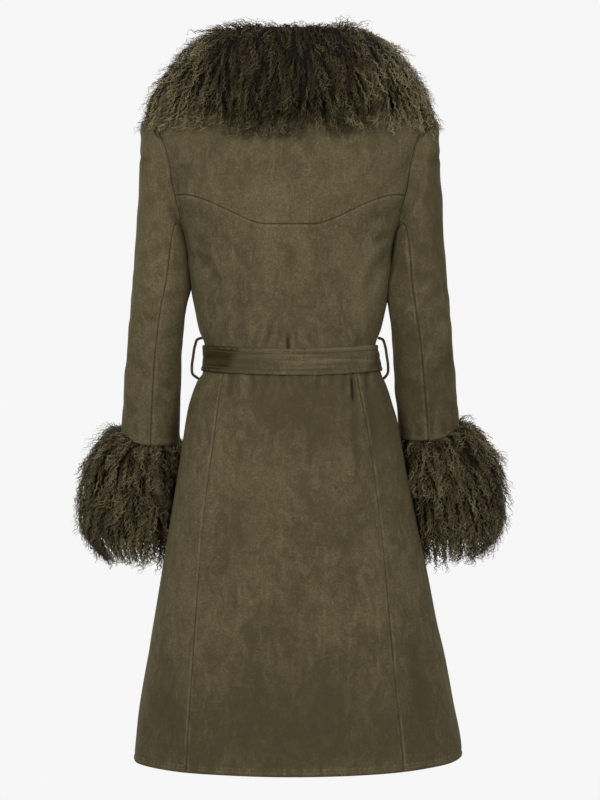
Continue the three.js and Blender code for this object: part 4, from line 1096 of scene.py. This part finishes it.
def make_tail(name, start, end, length, seed):
    top = BELT_Z_FRONT - KNOT_TALL / 2 * (1 - KNOT_WAIST) - TAIL_DROP
    t = np.linspace(0, 1, 91)
    lane = np.array([-21, -20.2, -18.8, -16, -14, -13, -12, -7, 0, 7, 12, 13, 14, 16, 18.8, 20.2, 21.0])
    z = np.broadcast_to((top - length * t)[:, None], (len(t), len(lane)))
    across = np.broadcast_to(lane, z.shape)
    gather = mix(0.72, 1, smoothstep(t * 4))[:, None]
    w = front_turn(mix(start, end, smoothstep(t * 1.1))[:, None] + across * gather, z)
    along = np.broadcast_to((length * t)[:, None], z.shape)
    points = body_point(w, z) + body_normal(w, z) * (flare_out(w, z) + TAIL_CLEAR + BELT_THICK)[..., None]
    relief = strap_relief(along, across, seed) + 0.8 * np.sin(along / 46 + seed) * (1 - np.abs(across) / 60)
    piece = shell(name, points, body_normal(w, z), relief, [belt_suede_hung], belt_notes(along, across),
                  4, BELT_THICK)
    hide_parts(name)


make_tail("belt_tail_left", 22, 52, 350, 43)
make_tail("belt_tail_right", -22, -66, 380, 44)

LOOP_PATH = np.array([
    (142, -399.5), (148, -402), (152, -412), (155, -430), (157, -446), (156, -457), (151, -465),
])


def make_loop(name, side):
    """A narrow sewn strip that bows round the belt."""
    path = LOOP_PATH.copy()
    path[:, 0] *= side
    for end in (0, -1):
        z = path[end, 1]
        path[end, 0] = section.shift(z) + side * (section.wide(z) + LOOP_SEAT)
    knots = np.concatenate([[0], np.cumsum(np.linalg.norm(np.diff(path, axis=0), axis=1))])
    fine = np.linspace(0, knots[-1], 41)
    line = np.stack([catmull(path[:, 0], knots, fine), catmull(path[:, 1], knots, fine)], -1)
    along = unit(np.gradient(line, axis=0))
    out = np.stack([along[:, 1] * -1, along[:, 0]], -1) * side
    turn = np.linspace(0, 2 * math.pi, 17)[:-1]
    thick = powered(np.cos(turn), 0.55) * LOOP_HALF_THICK
    wide = powered(np.sin(turn), 0.55) * LOOP_HALF_WIDE
    x = line[:, None, 0] + out[:, None, 0] * thick
    z = line[:, None, 1] + out[:, None, 1] * thick
    points = np.stack([x, np.broadcast_to(wide, x.shape), z], -1)
    rows, columns = x.shape
    faces = capped_faces(rows, columns)
    facing = np.cross(points[20, 1] - points[20, 0], points[21, 0] - points[20, 0])
    if np.dot(facing, points[20, 0] - points[20, 8]) < 0:
        faces = [face[::-1] for face in faces]
    run = np.broadcast_to(fine[:, None], x.shape)
    notes = {"seam": np.broadcast_to(4.6 - np.abs(wide), x.shape), "stitch": np.full(x.shape, 9.0),
             "along": run, "shade": np.full(x.shape, 0.5)}
    piece = make_piece(name, points.reshape(-1, 3), faces, [belt_suede], floats=notes)
    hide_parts(name)


def catmull(values, knots, at):
    """A smooth curve through values at uneven knots."""
    slope = np.gradient(values, knots)
    i = np.clip(np.searchsorted(knots, at) - 1, 0, len(knots) - 2)
    span = knots[i + 1] - knots[i]
    t = (at - knots[i]) / span
    return cubic(t, span, values[i], values[i + 1], slope[i], slope[i + 1])


make_loop("belt_loop_left", 1)
make_loop("belt_loop_right", -1)


# ---- Fur: the reach of the pile as a fine grid, then a dark ground and curls in it ----
def refine(rows, times):
    """More rows on a smooth surface through the given ones."""
    at = np.linspace(0, len(rows) - 1, (len(rows) - 1) * times + 1)
    return through_rings(rows, at)


def neck_station(side, degrees):
    angle = math.radians(degrees)
    sin, cos = math.sin(angle), math.cos(angle)
    turn = sin * sin

    def polar(x, y, z):
        return (side * x * sin, y * cos, z)

    under = [(side * degrees / 90, mix(1, mix(-54, -42, turn), t)) for t in (0, 0.5, 1)]
    top = [polar(230, 116, mix(-70, -42, turn)), polar(226, 140, mix(-42, -21, turn)),
           polar(210, 150, mix(6, 8, turn)), polar(187, 138, mix(49, 40, turn)),
           polar(149, 114, mix(78, 75, turn)), polar(117, 86, mix(87, 88, turn)),
           polar(102, 71, 62), polar(92, 63, mix(30, 32, turn))]
    return under, top


def throat_station(side):
    start = front_turn(front_edge(0) + 1, np.array(0.0))
    under = [(side * mix(start, 1.15, t), -50 * t) for t in (0, 0.5, 1)]
    top = [(215, -44, -58), (216, -60, -30), (203, -76, 2), (180, -80, 31),
           (147, -67, 50), (115, -47, 58), (96, -38, 46), (86, -30, 24)]
    return under, [(side * x, y, z) for x, y, z in top]


# Shawl: level of the seam edge, place and level of the outer edge, depth of the pile.
SHAWL = [
    (-16, 1.28, -74, 60), (-48, 1.4, -116, 54), (-95, 1.5, -168, 49), (-150, 1.58, -216, 44),
    (-205, 1.68, -258, 40), (-255, 1.79, -292, 33), (-290, 1.88, -314, 22), (-303, 1.93, -318, 12),
]


def shawl_station(side, edge, outer, low, pile):
    start = front_turn(front_edge(edge) + 2, np.array(float(edge)))

    def lay(t, height):
        return tuple(on_body(side * mix(start, outer, t), np.array(mix(edge, low, t), float), height))

    under = [(side * mix(start, outer, t), mix(edge, low, t)) for t in (0, 0.5, 1)]
    top = [lay(1.06, pile * 0.25 + 2), lay(1, pile * 0.6), lay(0.85, pile * 0.88), lay(0.62, pile),
           lay(0.38, pile), lay(0.15, pile * 0.85), lay(0, pile * 0.6), lay(-0.05, pile * 0.25 + 1)]
    return under, top


def collar_profiles():
    """Rows of points from the outer edge over the crest to the neck edge, round the whole collar."""
    halves = {}
    for side in (1, -1):
        halves[side] = [*[neck_station(side, d) for d in (15, 30, 45, 60, 75, 90)], throat_station(side),
                        *[shawl_station(side, *row) for row in SHAWL]]
    stations = [*halves[1][::-1], neck_station(1, 0), *halves[-1]]
    tops, unders = [], []
    for under, top in stations:
        laid = [on_body(np.array(w), np.array(float(z)), 1.2 if i == 0 else COLLAR_CLEAR)
                for i, (w, z) in enumerate(under)]
        unders.append(laid)
        tops.append(top)
    return np.array(tops, float), np.array(unders, float)


def fine_grid(tops, across, along):
    rows = refine(tops, across)
    return np.swapaxes(refine(np.swapaxes(rows, 0, 1), along), 0, 1)


# The far ends of the hair reach this much beyond the grid of the pile.
HAIR_BEYOND, BEYOND_STEP = 49, 7
PILE_COLUMNS, WIDTH_COLUMN = 140, 60
HAIR_STEPS = 23


class Pile:
    """The outside of a fur piece as a grid: row = place round it, column = 0 at the hair ends."""

    def __init__(self, grid, outward, spread):
        down = unit(grid[:, 0] - grid[:, 2])
        down = unit(down * 0.5 + np.array([0, 0, -0.5]) + spread(grid[:, 0]))
        beyond = [grid[:, 0] + down * step for step in range(HAIR_BEYOND, 0, -BEYOND_STEP)]
        self.extra = HAIR_BEYOND
        self.grid = np.concatenate([np.stack(beyond, 1), grid], 1)
        run = np.linalg.norm(np.diff(self.grid, axis=1), axis=-1)
        self.run = np.concatenate([np.zeros((len(grid), 1)), np.cumsum(run, axis=1)], axis=1)
        self.length = self.run[:, -1]
        # Columns evenly spaced along each row, so distance along the hair is a share of the row.
        even = np.empty((len(grid), PILE_COLUMNS, 3))
        for i in range(len(grid)):
            at = np.linspace(0, self.run[i, -1], PILE_COLUMNS)
            for axis in range(3):
                even[i, :, axis] = np.interp(at, self.run[i], self.grid[i, :, axis])
        self.even = even
        normal = unit(np.cross(np.gradient(even, axis=0), np.gradient(even, axis=1)))
        flip = np.sign(np.sum(normal * outward(even), axis=-1, keepdims=True).mean())
        self.normal = normal * flip

    def sample(self, field, u, distance):
        """Value at row u and at a distance in millimetres from the far end of the hair."""
        rows, count = field.shape[:2]
        length = np.interp(u, np.arange(rows), self.length)
        v = np.clip(distance / length, 0, 0.9999) * (count - 1)
        u = np.clip(u, 0, rows - 1.0001)
        i, j = u.astype(int), v.astype(int)
        a, b = (u - i)[..., None], (v - j)[..., None]
        near = mix(field[i, j], field[i, j + 1], b)
        far = mix(field[i + 1, j], field[i + 1, j + 1], b)
        return mix(near, far, a)


def grow_hair(pile, count, seed, per_lock, length, depth, slant, wide, ends, lift=2.2):
    """Wavy tapered hairs in locks: ribbons (hair, step, 2 edges, 3), tone, share along, place round."""
    dice = np.random.default_rng(seed)
    rows, steps = len(pile.length), HAIR_STEPS
    locks = count // per_lock
    # The locks are spread evenly over the real area of the pile.
    width = np.linalg.norm(np.diff(pile.even[:, pile.even.shape[1] // 3], axis=0), axis=-1)
    share = np.concatenate([[0], np.cumsum(width)])
    lock_u = np.interp(dice.uniform(0, share[-1], locks), share, np.arange(rows))
    total = np.interp(lock_u, np.arange(rows), pile.length)
    lock_end = ends(dice, locks, total)
    lock_tone = np.clip(dice.normal(0.5, 0.34, locks), 0, 1)
    lock_wave = dice.uniform(8.5, 13.5, locks)
    lock_phase = dice.uniform(0, 6.3, locks)
    stray = dice.uniform(0, 1, locks) < 0.18
    lock_lean = dice.normal(0, 0.15, locks) + stray * dice.normal(0, 0.22, locks)
    lock_bow = dice.normal(0, 3, locks)
    lock_lift = dice.exponential(lift, locks) + stray * dice.uniform(4, 14, locks)
    lock_long = dice.uniform(*length, locks)
    lock_swing = dice.uniform(1.6, 3.8, locks)
    pick = np.repeat(np.arange(locks), per_lock)
    n = len(pick)

    def each(values):
        return values[pick][:, None]

    def own(low, high):
        return dice.uniform(low, high, n)[:, None]

    t = np.linspace(0, 1, steps)[None, :]
    long = each(lock_long) * own(0.8, 1.15)
    end = each(lock_end) + dice.normal(0, 2.4, n)[:, None]
    limit = each(total) * 0.995
    distance = np.minimum(end + (1 - t) * long, limit)
    across = np.linalg.norm(pile.even[1:, WIDTH_COLUMN] - pile.even[:-1, WIDTH_COLUMN], axis=-1)
    across = np.interp(lock_u[pick], np.arange(rows - 1), across)[:, None]
    side = (dice.normal(0, 2.0, n)[:, None] * (1 - 0.7 * t ** 1.5) + each(lock_lean) * long * t
            + each(lock_bow) * np.sin(math.pi * t + 0.6) + slant(each(lock_u)) * long * t)
    u = each(lock_u) + side / across
    place = pile.sample(pile.even, u, distance)
    normal = unit(pile.sample(pile.normal, u, distance))
    flow = unit(np.gradient(place, axis=1))
    beside = unit(np.cross(flow, normal))
    from_root = 0.12 + 0.88 * smoothstep((limit - distance) / 26)
    tips = (each(lock_lift) + dice.normal(0, 1.3, n)[:, None] - 0.8) * smoothstep((limit - distance) / 30)
    high = (-own(*depth) * (1 - t) ** 1.3 * from_root + tips * t ** 1.5
            + 1.3 * np.sin(math.pi * 2 * t + each(lock_phase)))
    wave = each(lock_wave) * own(0.9, 1.1)
    turn = long * t * 2 * math.pi / wave + each(lock_phase) + dice.normal(0, 0.4, n)[:, None]
    swing = each(lock_swing) * own(0.85, 1.15) * (0.3 + 0.7 * t)
    ringlet = own(0, 1) < 0.45
    swing = swing * (1 + 0.7 * smoothstep((t - 0.6) / 0.4) * ringlet)
    out = high + 0.8 * swing * np.cos(turn)
    place = place + beside * (swing * np.sin(turn))[..., None] + normal * out[..., None]
    flow = unit(np.gradient(place, axis=1))
    roll = own(-0.9, 0.9) + 0.5 * np.sin(turn * 0.5)
    edge = unit(np.cross(flow, normal * np.cos(roll)[..., None] + beside * np.sin(roll)[..., None]))
    thick = own(*wide) * (1 - 0.74 * t ** 1.6) * (0.7 + 0.3 * smoothstep(t / 0.1))
    ribbons = np.stack([place - edge * thick[..., None] / 2, place + edge * thick[..., None] / 2], 2)
    tone = np.clip(lock_tone[pick] + dice.normal(0, 0.2, n), 0, 1)
    return ribbons, tone, np.broadcast_to(t, (n, steps)), lock_u[pick]


def make_hair(name, node, ribbons, tone, along):
    """One mesh of many hair ribbons, each with its own strip in the flat layout."""
    n, steps = ribbons.shape[:2]
    points = ribbons.reshape(-1, 3)
    base = ((np.arange(n) * steps * 2)[:, None] + (np.arange(steps - 1) * 2)[None, :]).ravel()
    corners = np.stack([base, base + 1, base + 3, base + 2], -1).ravel().astype(np.int32)
    side = int(math.ceil(math.sqrt(n)))
    hair = np.arange(n)
    cell = np.stack([hair % side, hair // side], -1) / side
    flat = np.stack(np.meshgrid(np.linspace(0.08, 0.92, steps), [0.12, 0.88], indexing="ij"), -1) / side
    flat = flat[..., ::-1]
    spots = (cell[:, None, None, :] + flat[None]).reshape(-1, 2)
    floats = {"tone": np.repeat(tone, steps * 2), "along": np.repeat(along.ravel(), 2)}
    mesh = bpy.data.meshes.new(name)
    fill_mesh(mesh, points, corners, np.full(len(base), 4, np.int32), floats, spots)
    piece = finish_piece(name, mesh, [lamb_hair])
    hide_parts(node)


def make_ground(name, node, grid, closed):
    """The dark ground of a fur piece, from closed rings of points."""
    rows, columns = grid.shape[:2]
    if closed:
        faces = (grid_faces(rows + 1, columns, True) % (rows * columns)).tolist()
    else:
        faces = capped_faces(rows, columns)
    flat = grid.reshape(-1, 3)
    corner = flat[np.array([face[:3] for face in faces[:rows * (columns - 1)]])]
    volume = np.sum(np.cross(corner[:, 0], corner[:, 1]) * corner[:, 2])
    if volume < 0:
        faces = [face[::-1] for face in faces]
    piece = make_piece(name, flat, faces, [lamb_ground])
    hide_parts(node)


def lay_on_cloth(ribbons, way):
    """Hair that would sink a little into the cloth lies on it instead; way is 1 behind and -1 in front."""
    cell, low, empty = 4, np.array([-320.0, -400.0]), -1e3
    tall = np.full((160, 120), empty)
    for piece in (back_yoke, front_bodice_left, front_bodice_right, *sleeves.values()):
        spots = np.empty(len(piece.data.vertices) * 3)
        piece.data.vertices.foreach_get("co", spots)
        spots = spots.reshape(-1, 3) / MM
        spots = spots[spots[:, 2] > -390]
        at = ((spots[:, [0, 2]] - low) / cell).astype(int)
        np.maximum.at(tall, (at[:, 0], at[:, 1]), way * spots[:, 1])
    for _ in range(2):
        beside = np.maximum(tall[2:, 1:-1], tall[:-2, 1:-1])
        above = np.maximum(tall[1:-1, 2:], tall[1:-1, :-2])
        near = np.maximum(beside, above)
        tall[1:-1, 1:-1] = np.where(tall[1:-1, 1:-1] == empty, near, tall[1:-1, 1:-1])
    middle = ribbons.mean(2)
    at = np.clip((middle[..., [0, 2]] - low) / cell, 0, [158.9, 118.9])
    i, a = at.astype(int), at % 1
    x, z = i[..., 0], i[..., 1]
    lower = mix(tall[x, z], tall[x + 1, z], a[..., 0])
    upper = mix(tall[x, z + 1], tall[x + 1, z + 1], a[..., 0])
    height = mix(lower, upper, a[..., 1])
    gap = way * middle[..., 1] - height
    push = np.where((gap < 8) & (gap > -38) & (height > 0), 8 * np.exp((gap - 8) / 16) - gap, 0)
    return ribbons + np.array([0, way, 0]) * push[..., None, None]


def collar_fur():
    tops, unders = collar_profiles()
    grid = fine_grid(tops, 8, 6)
    middle = fine_grid(np.concatenate([tops, unders[:, ::-1]], 1), 8, 1).mean(1)

    def spread(ends):
        way = unit(ends * np.array([1, 1, 0]))
        shoulder = smoothstep((np.abs(way[:, :1]) - 0.55) / 0.4) * smoothstep((ends[:, 2:] + 90) / 40)
        return way * (0.3 - 0.1 * shoulder)

    pile = Pile(grid, lambda p: p - middle[:, None], spread)
    # Ground: every ring drawn in towards its own middle.
    rings = fine_grid(tops, 4, 3)
    under = fine_grid(unders[:, ::-1], 4, 4)
    ring_middle = rings.mean(1, keepdims=True) * 0.6 + under.mean(1, keepdims=True) * 0.4
    reach = np.linalg.norm(rings - ring_middle, axis=-1, keepdims=True)
    pull = np.minimum(mix(10.5, 5.5, smoothstep((rings[..., 2:] - 40) / 40)), reach * 0.35)
    rings = rings + (ring_middle - rings) * pull / reach
    lifted = under * 0.96 + ring_middle * 0.04
    whole = np.concatenate([rings, lifted], 1)
    # Its low edge behind is uneven and stays above the ends of the curls.
    place_round = np.linspace(0, 1, len(whole))[:, None]
    ragged = 10 + 4 * np.sin(place_round * 97) + 3 * np.sin(place_round * 211 + 2)
    behind = smoothstep((whole[:, :1, 1] - 20) / 40)
    whole[..., 2] += behind * ragged * (1 - smoothstep((whole[..., 2] - whole[:, :1, 2]) / 26))
    make_ground("fur_collar_ground", "fur_collar", whole, False)
    rows = len(pile.length)
    shawl_end = 0.27

    def slant(u):
        share = u / (rows - 1)
        left = smoothstep((shawl_end - share) / 0.16)
        right = smoothstep((share - 1 + shawl_end) / 0.16)
        wander = 0.11 * np.sin(share * 61) + 0.09 * np.sin(share * 143 + 1)
        return -0.55 * left + 0.55 * right + wander

    def ends(dice, count, total):
        spread = dice.beta(0.95, 1.15, count) * (dice.uniform(0, 1, count) > 0.23)
        return pile.extra - 23 + dice.normal(0, 8, count) + spread * (total - pile.extra + 9)

    ribbons, tone, along, u = grow_hair(pile, 9000, 71, 3, (40, 62), (3, 14), slant, (1.0, 1.9), ends, 1.7)
    # Behind the shoulders the curls end higher than in the middle.
    tip = ribbons[:, -1].mean(1)
    aside = np.abs(tip[:, 0])
    lowest = -91 + 19 * smoothstep((aside - 70) / 50) * smoothstep((216 - aside) / 22)
    lowest = lowest + 9 * np.sin(u * 811.3) + 5 * np.sin(u * 97.7)
    rise = 0.8 * np.maximum(lowest - tip[:, 2], 0) * (tip[:, 1] > 0)
    ribbons[..., 2] += (rise[:, None] * along ** 1.3)[..., None]
    # Two tufts stand out sideways from the crest, and the crest is lower between them.
    high = smoothstep((ribbons[..., 2] - 66) / 20) * (along ** 2)[..., None]
    tuft = np.exp(-(((np.abs(ribbons[..., 0]) - 78) / 24) ** 2)) * high
    ribbons[..., 0] += 13 * np.sign(ribbons[..., 0]) * tuft
    between = 1 - smoothstep((np.abs(ribbons[..., 0]) - 34) / 26)
    ribbons[..., 2] += 6 * tuft - 0.55 * between * np.maximum(ribbons[..., 2] - 84, 0)
    ribbons = lay_on_cloth(ribbons, 1)
    ribbons = lay_on_cloth(ribbons, -1)
    place = ribbons[:, -1].mean(1)
    # Painted light and shade by place: lighter towards the sides and low in the middle, darker at the top in
    # the middle, and the left side (+X), which the key light reaches most, a little darker.
    tone = tone + 0.98 * smoothstep((np.abs(place[:, 0]) - 70) / 110) - 0.3 - 0.1 * (place[:, 0] > 90)
    tone = tone + 0.28 * smoothstep((-34 - place[:, 2]) / 24) * smoothstep((130 - np.abs(place[:, 0])) / 50)
    tone = np.clip(tone, 0, 1.5)
    order = np.argsort(u)
    for i, part in enumerate(np.array_split(order, 3)):
        make_hair(f"fur_collar_hair_{i + 1}", "fur_collar", ribbons[part], tone[part], along[part])


# Fur cuff: level, reach outward, back, front and toward the skirt, from its own axis.
CUFF_ROWS = [
    (-579, 94, 72, 76, 56), (-600, 106, 82, 88, 58), (-640, 111, 87, 95, 60), (-680, 109, 88, 96, 60),
    (-710, 103, 82, 90, 58), (-735, 86, 72, 77, 52), (-753, 64, 60, 62, 48),
]
CUFF_TOP = np.array([226.5, -50, -562.0])
CUFF_LOW = np.array([240, -64, -758.0])
CUFF_BORE_TOP, CUFF_BORE_LOW = 42, 36
SLEEVE_END_OUT, SLEEVE_END_IN, SLEEVE_END_DEEP = 274, 179, 50
SKIRT_CLEAR = 5


def down_cuff(z):
    """0 at the top of a cuff and 1 at its lower end."""
    return smoothstep((CUFF_TOP[2] - z) / (CUFF_TOP[2] - CUFF_LOW[2]))


def cuff_bore(down):
    return mix(CUFF_BORE_TOP, CUFF_BORE_LOW, down)


def cuff_fur(side_name, side):
    tuck = 1.6 if side < 0 else 0
    drift = 12 if side < 0 else 0
    raised = 8 if side < 0 else 0
    angle = np.linspace(0, 2 * math.pi, 181)
    cos, sin = np.cos(angle), np.sin(angle)
    outward, beside = smoothstep((cos - 0.2) / 0.7), smoothstep((cos + 0.2) / 0.4)
    end_half = (SLEEVE_END_OUT - SLEEVE_END_IN) / 2 + tuck
    end_reach = 1 / np.hypot(cos / end_half, sin / SLEEVE_END_DEEP)

    def place(r, z, on_end=False):
        down = down_cuff(z)
        x = mix(CUFF_TOP[0] - tuck, CUFF_LOW[0] + drift, down) + r * cos
        y = mix(CUFF_TOP[1], CUFF_LOW[1], down) + r * sin
        level = z + (raised + 4 * r * cos / end_half - 9 * r * sin / SLEEVE_END_DEEP if on_end else 0)
        return np.stack([side * x, y, level + 0 * x], -1)

    def kept_off_skirt(r, z, on_end=False):
        r = r + np.zeros(len(angle))
        z = z + np.zeros(len(angle))
        least = cuff_bore(down_cuff(z)) + 5
        for _ in range(40):
            point = place(r, z, on_end)
            power = section.power(z)
            wide = np.abs(point[:, 0] - section.shift(z)) / (section.wide(z) + SKIRT_CLEAR)
            reach = np.where(point[:, 1] > 0, section.back(z), section.front(z)) + SKIRT_CLEAR
            inside = wide ** power + (np.abs(point[:, 1]) / reach) ** power <= 1
            r = np.where(inside & (r > least), r - 1, r)
        return r

    rows = [(end_reach + mix(-0.5, 1.2, beside) + 1.8 * outward, -562.5 + 0 * cos, True),
            (end_reach + mix(2, 4.5, outward), -562.7 + 10.5 * outward, True),
            (end_reach + mix(6, 11, outward), -565 + 15 * outward, True)]
    for z, out, back, front, inward in CUFF_ROWS:
        down = down_cuff(z)
        more = mix(8 + tuck, 2 - drift, down) if side < 0 else 0
        reach_x = np.where(cos > 0, out + more, inward)
        reach_y = np.where(sin > 0, back, front)
        rows.append((1 / np.hypot(cos / reach_x, sin / reach_y), z + 0 * cos, False))
    bottom = mix(-776, -766, smoothstep((cos + 1) / 2))
    kept = [(kept_off_skirt(r, z, on_end), z, on_end) for r, z, on_end in rows]
    kept.append((np.full(len(angle), 44.0), bottom + 2, False))
    outer = np.stack([place(r, z, on_end) for r, z, on_end in kept], 1)
    grid = fine_grid(outer, 1, 6)[:, ::-1]
    axis = np.array([side * 232, -57, -660.0])

    def outward_way(points):
        way = points - axis
        way[..., 2] = 0
        return way

    pile = Pile(grid, outward_way, lambda ends: 0 * ends)
    # Ground: narrower, and it ends above the tips so that the ends of the locks hang free.
    ground = []
    for r, z, on_end in kept[:-2]:
        if z.max() < -690:
            continue
        least = cuff_bore(down_cuff(z)) + 2
        ground.append(place(np.maximum(r - (4 if on_end else 11), least), z, on_end))
    ground.append(place(np.maximum(kept[-3][0] - mix(24, 8, outward), 40), -706.0 - 15 * outward))
    bore = [place(cuff_bore(t) + 0 * cos, mix(-563.5, -724, t) + 0 * cos, t == 0)
            for t in (1, 0.75, 0.5, 0.25, 0)]
    ring = np.stack([*ground, *bore], 1)[:-1]
    ring = np.concatenate([ring, ring[:, :1]], 1)
    loops = np.swapaxes(refine(np.swapaxes(ring, 0, 1), 2), 0, 1)[::2, :-1]
    make_ground(f"fur_cuff_{side_name}_ground", f"fur_cuff_{side_name}", loops, True)

    def ends(dice, count, total):
        spread = dice.beta(0.85, 1.0, count)
        return pile.extra + 4 + dice.normal(0, 6, count) + spread * (total - pile.extra - 16)

    ribbons, tone, along, _ = grow_hair(pile, 3700, 80 + side, 3, (40, 64), (3, 15), lambda u: 0 * u,
                                        (1.1, 2.2), ends)
    tone = np.clip(tone + 0.26, 0, 1)
    make_hair(f"fur_cuff_{side_name}_hair", f"fur_cuff_{side_name}", ribbons, tone, along)


collar_fur()
for side_name, side in (("left", 1), ("right", -1)):
    cuff_fur(side_name, side)
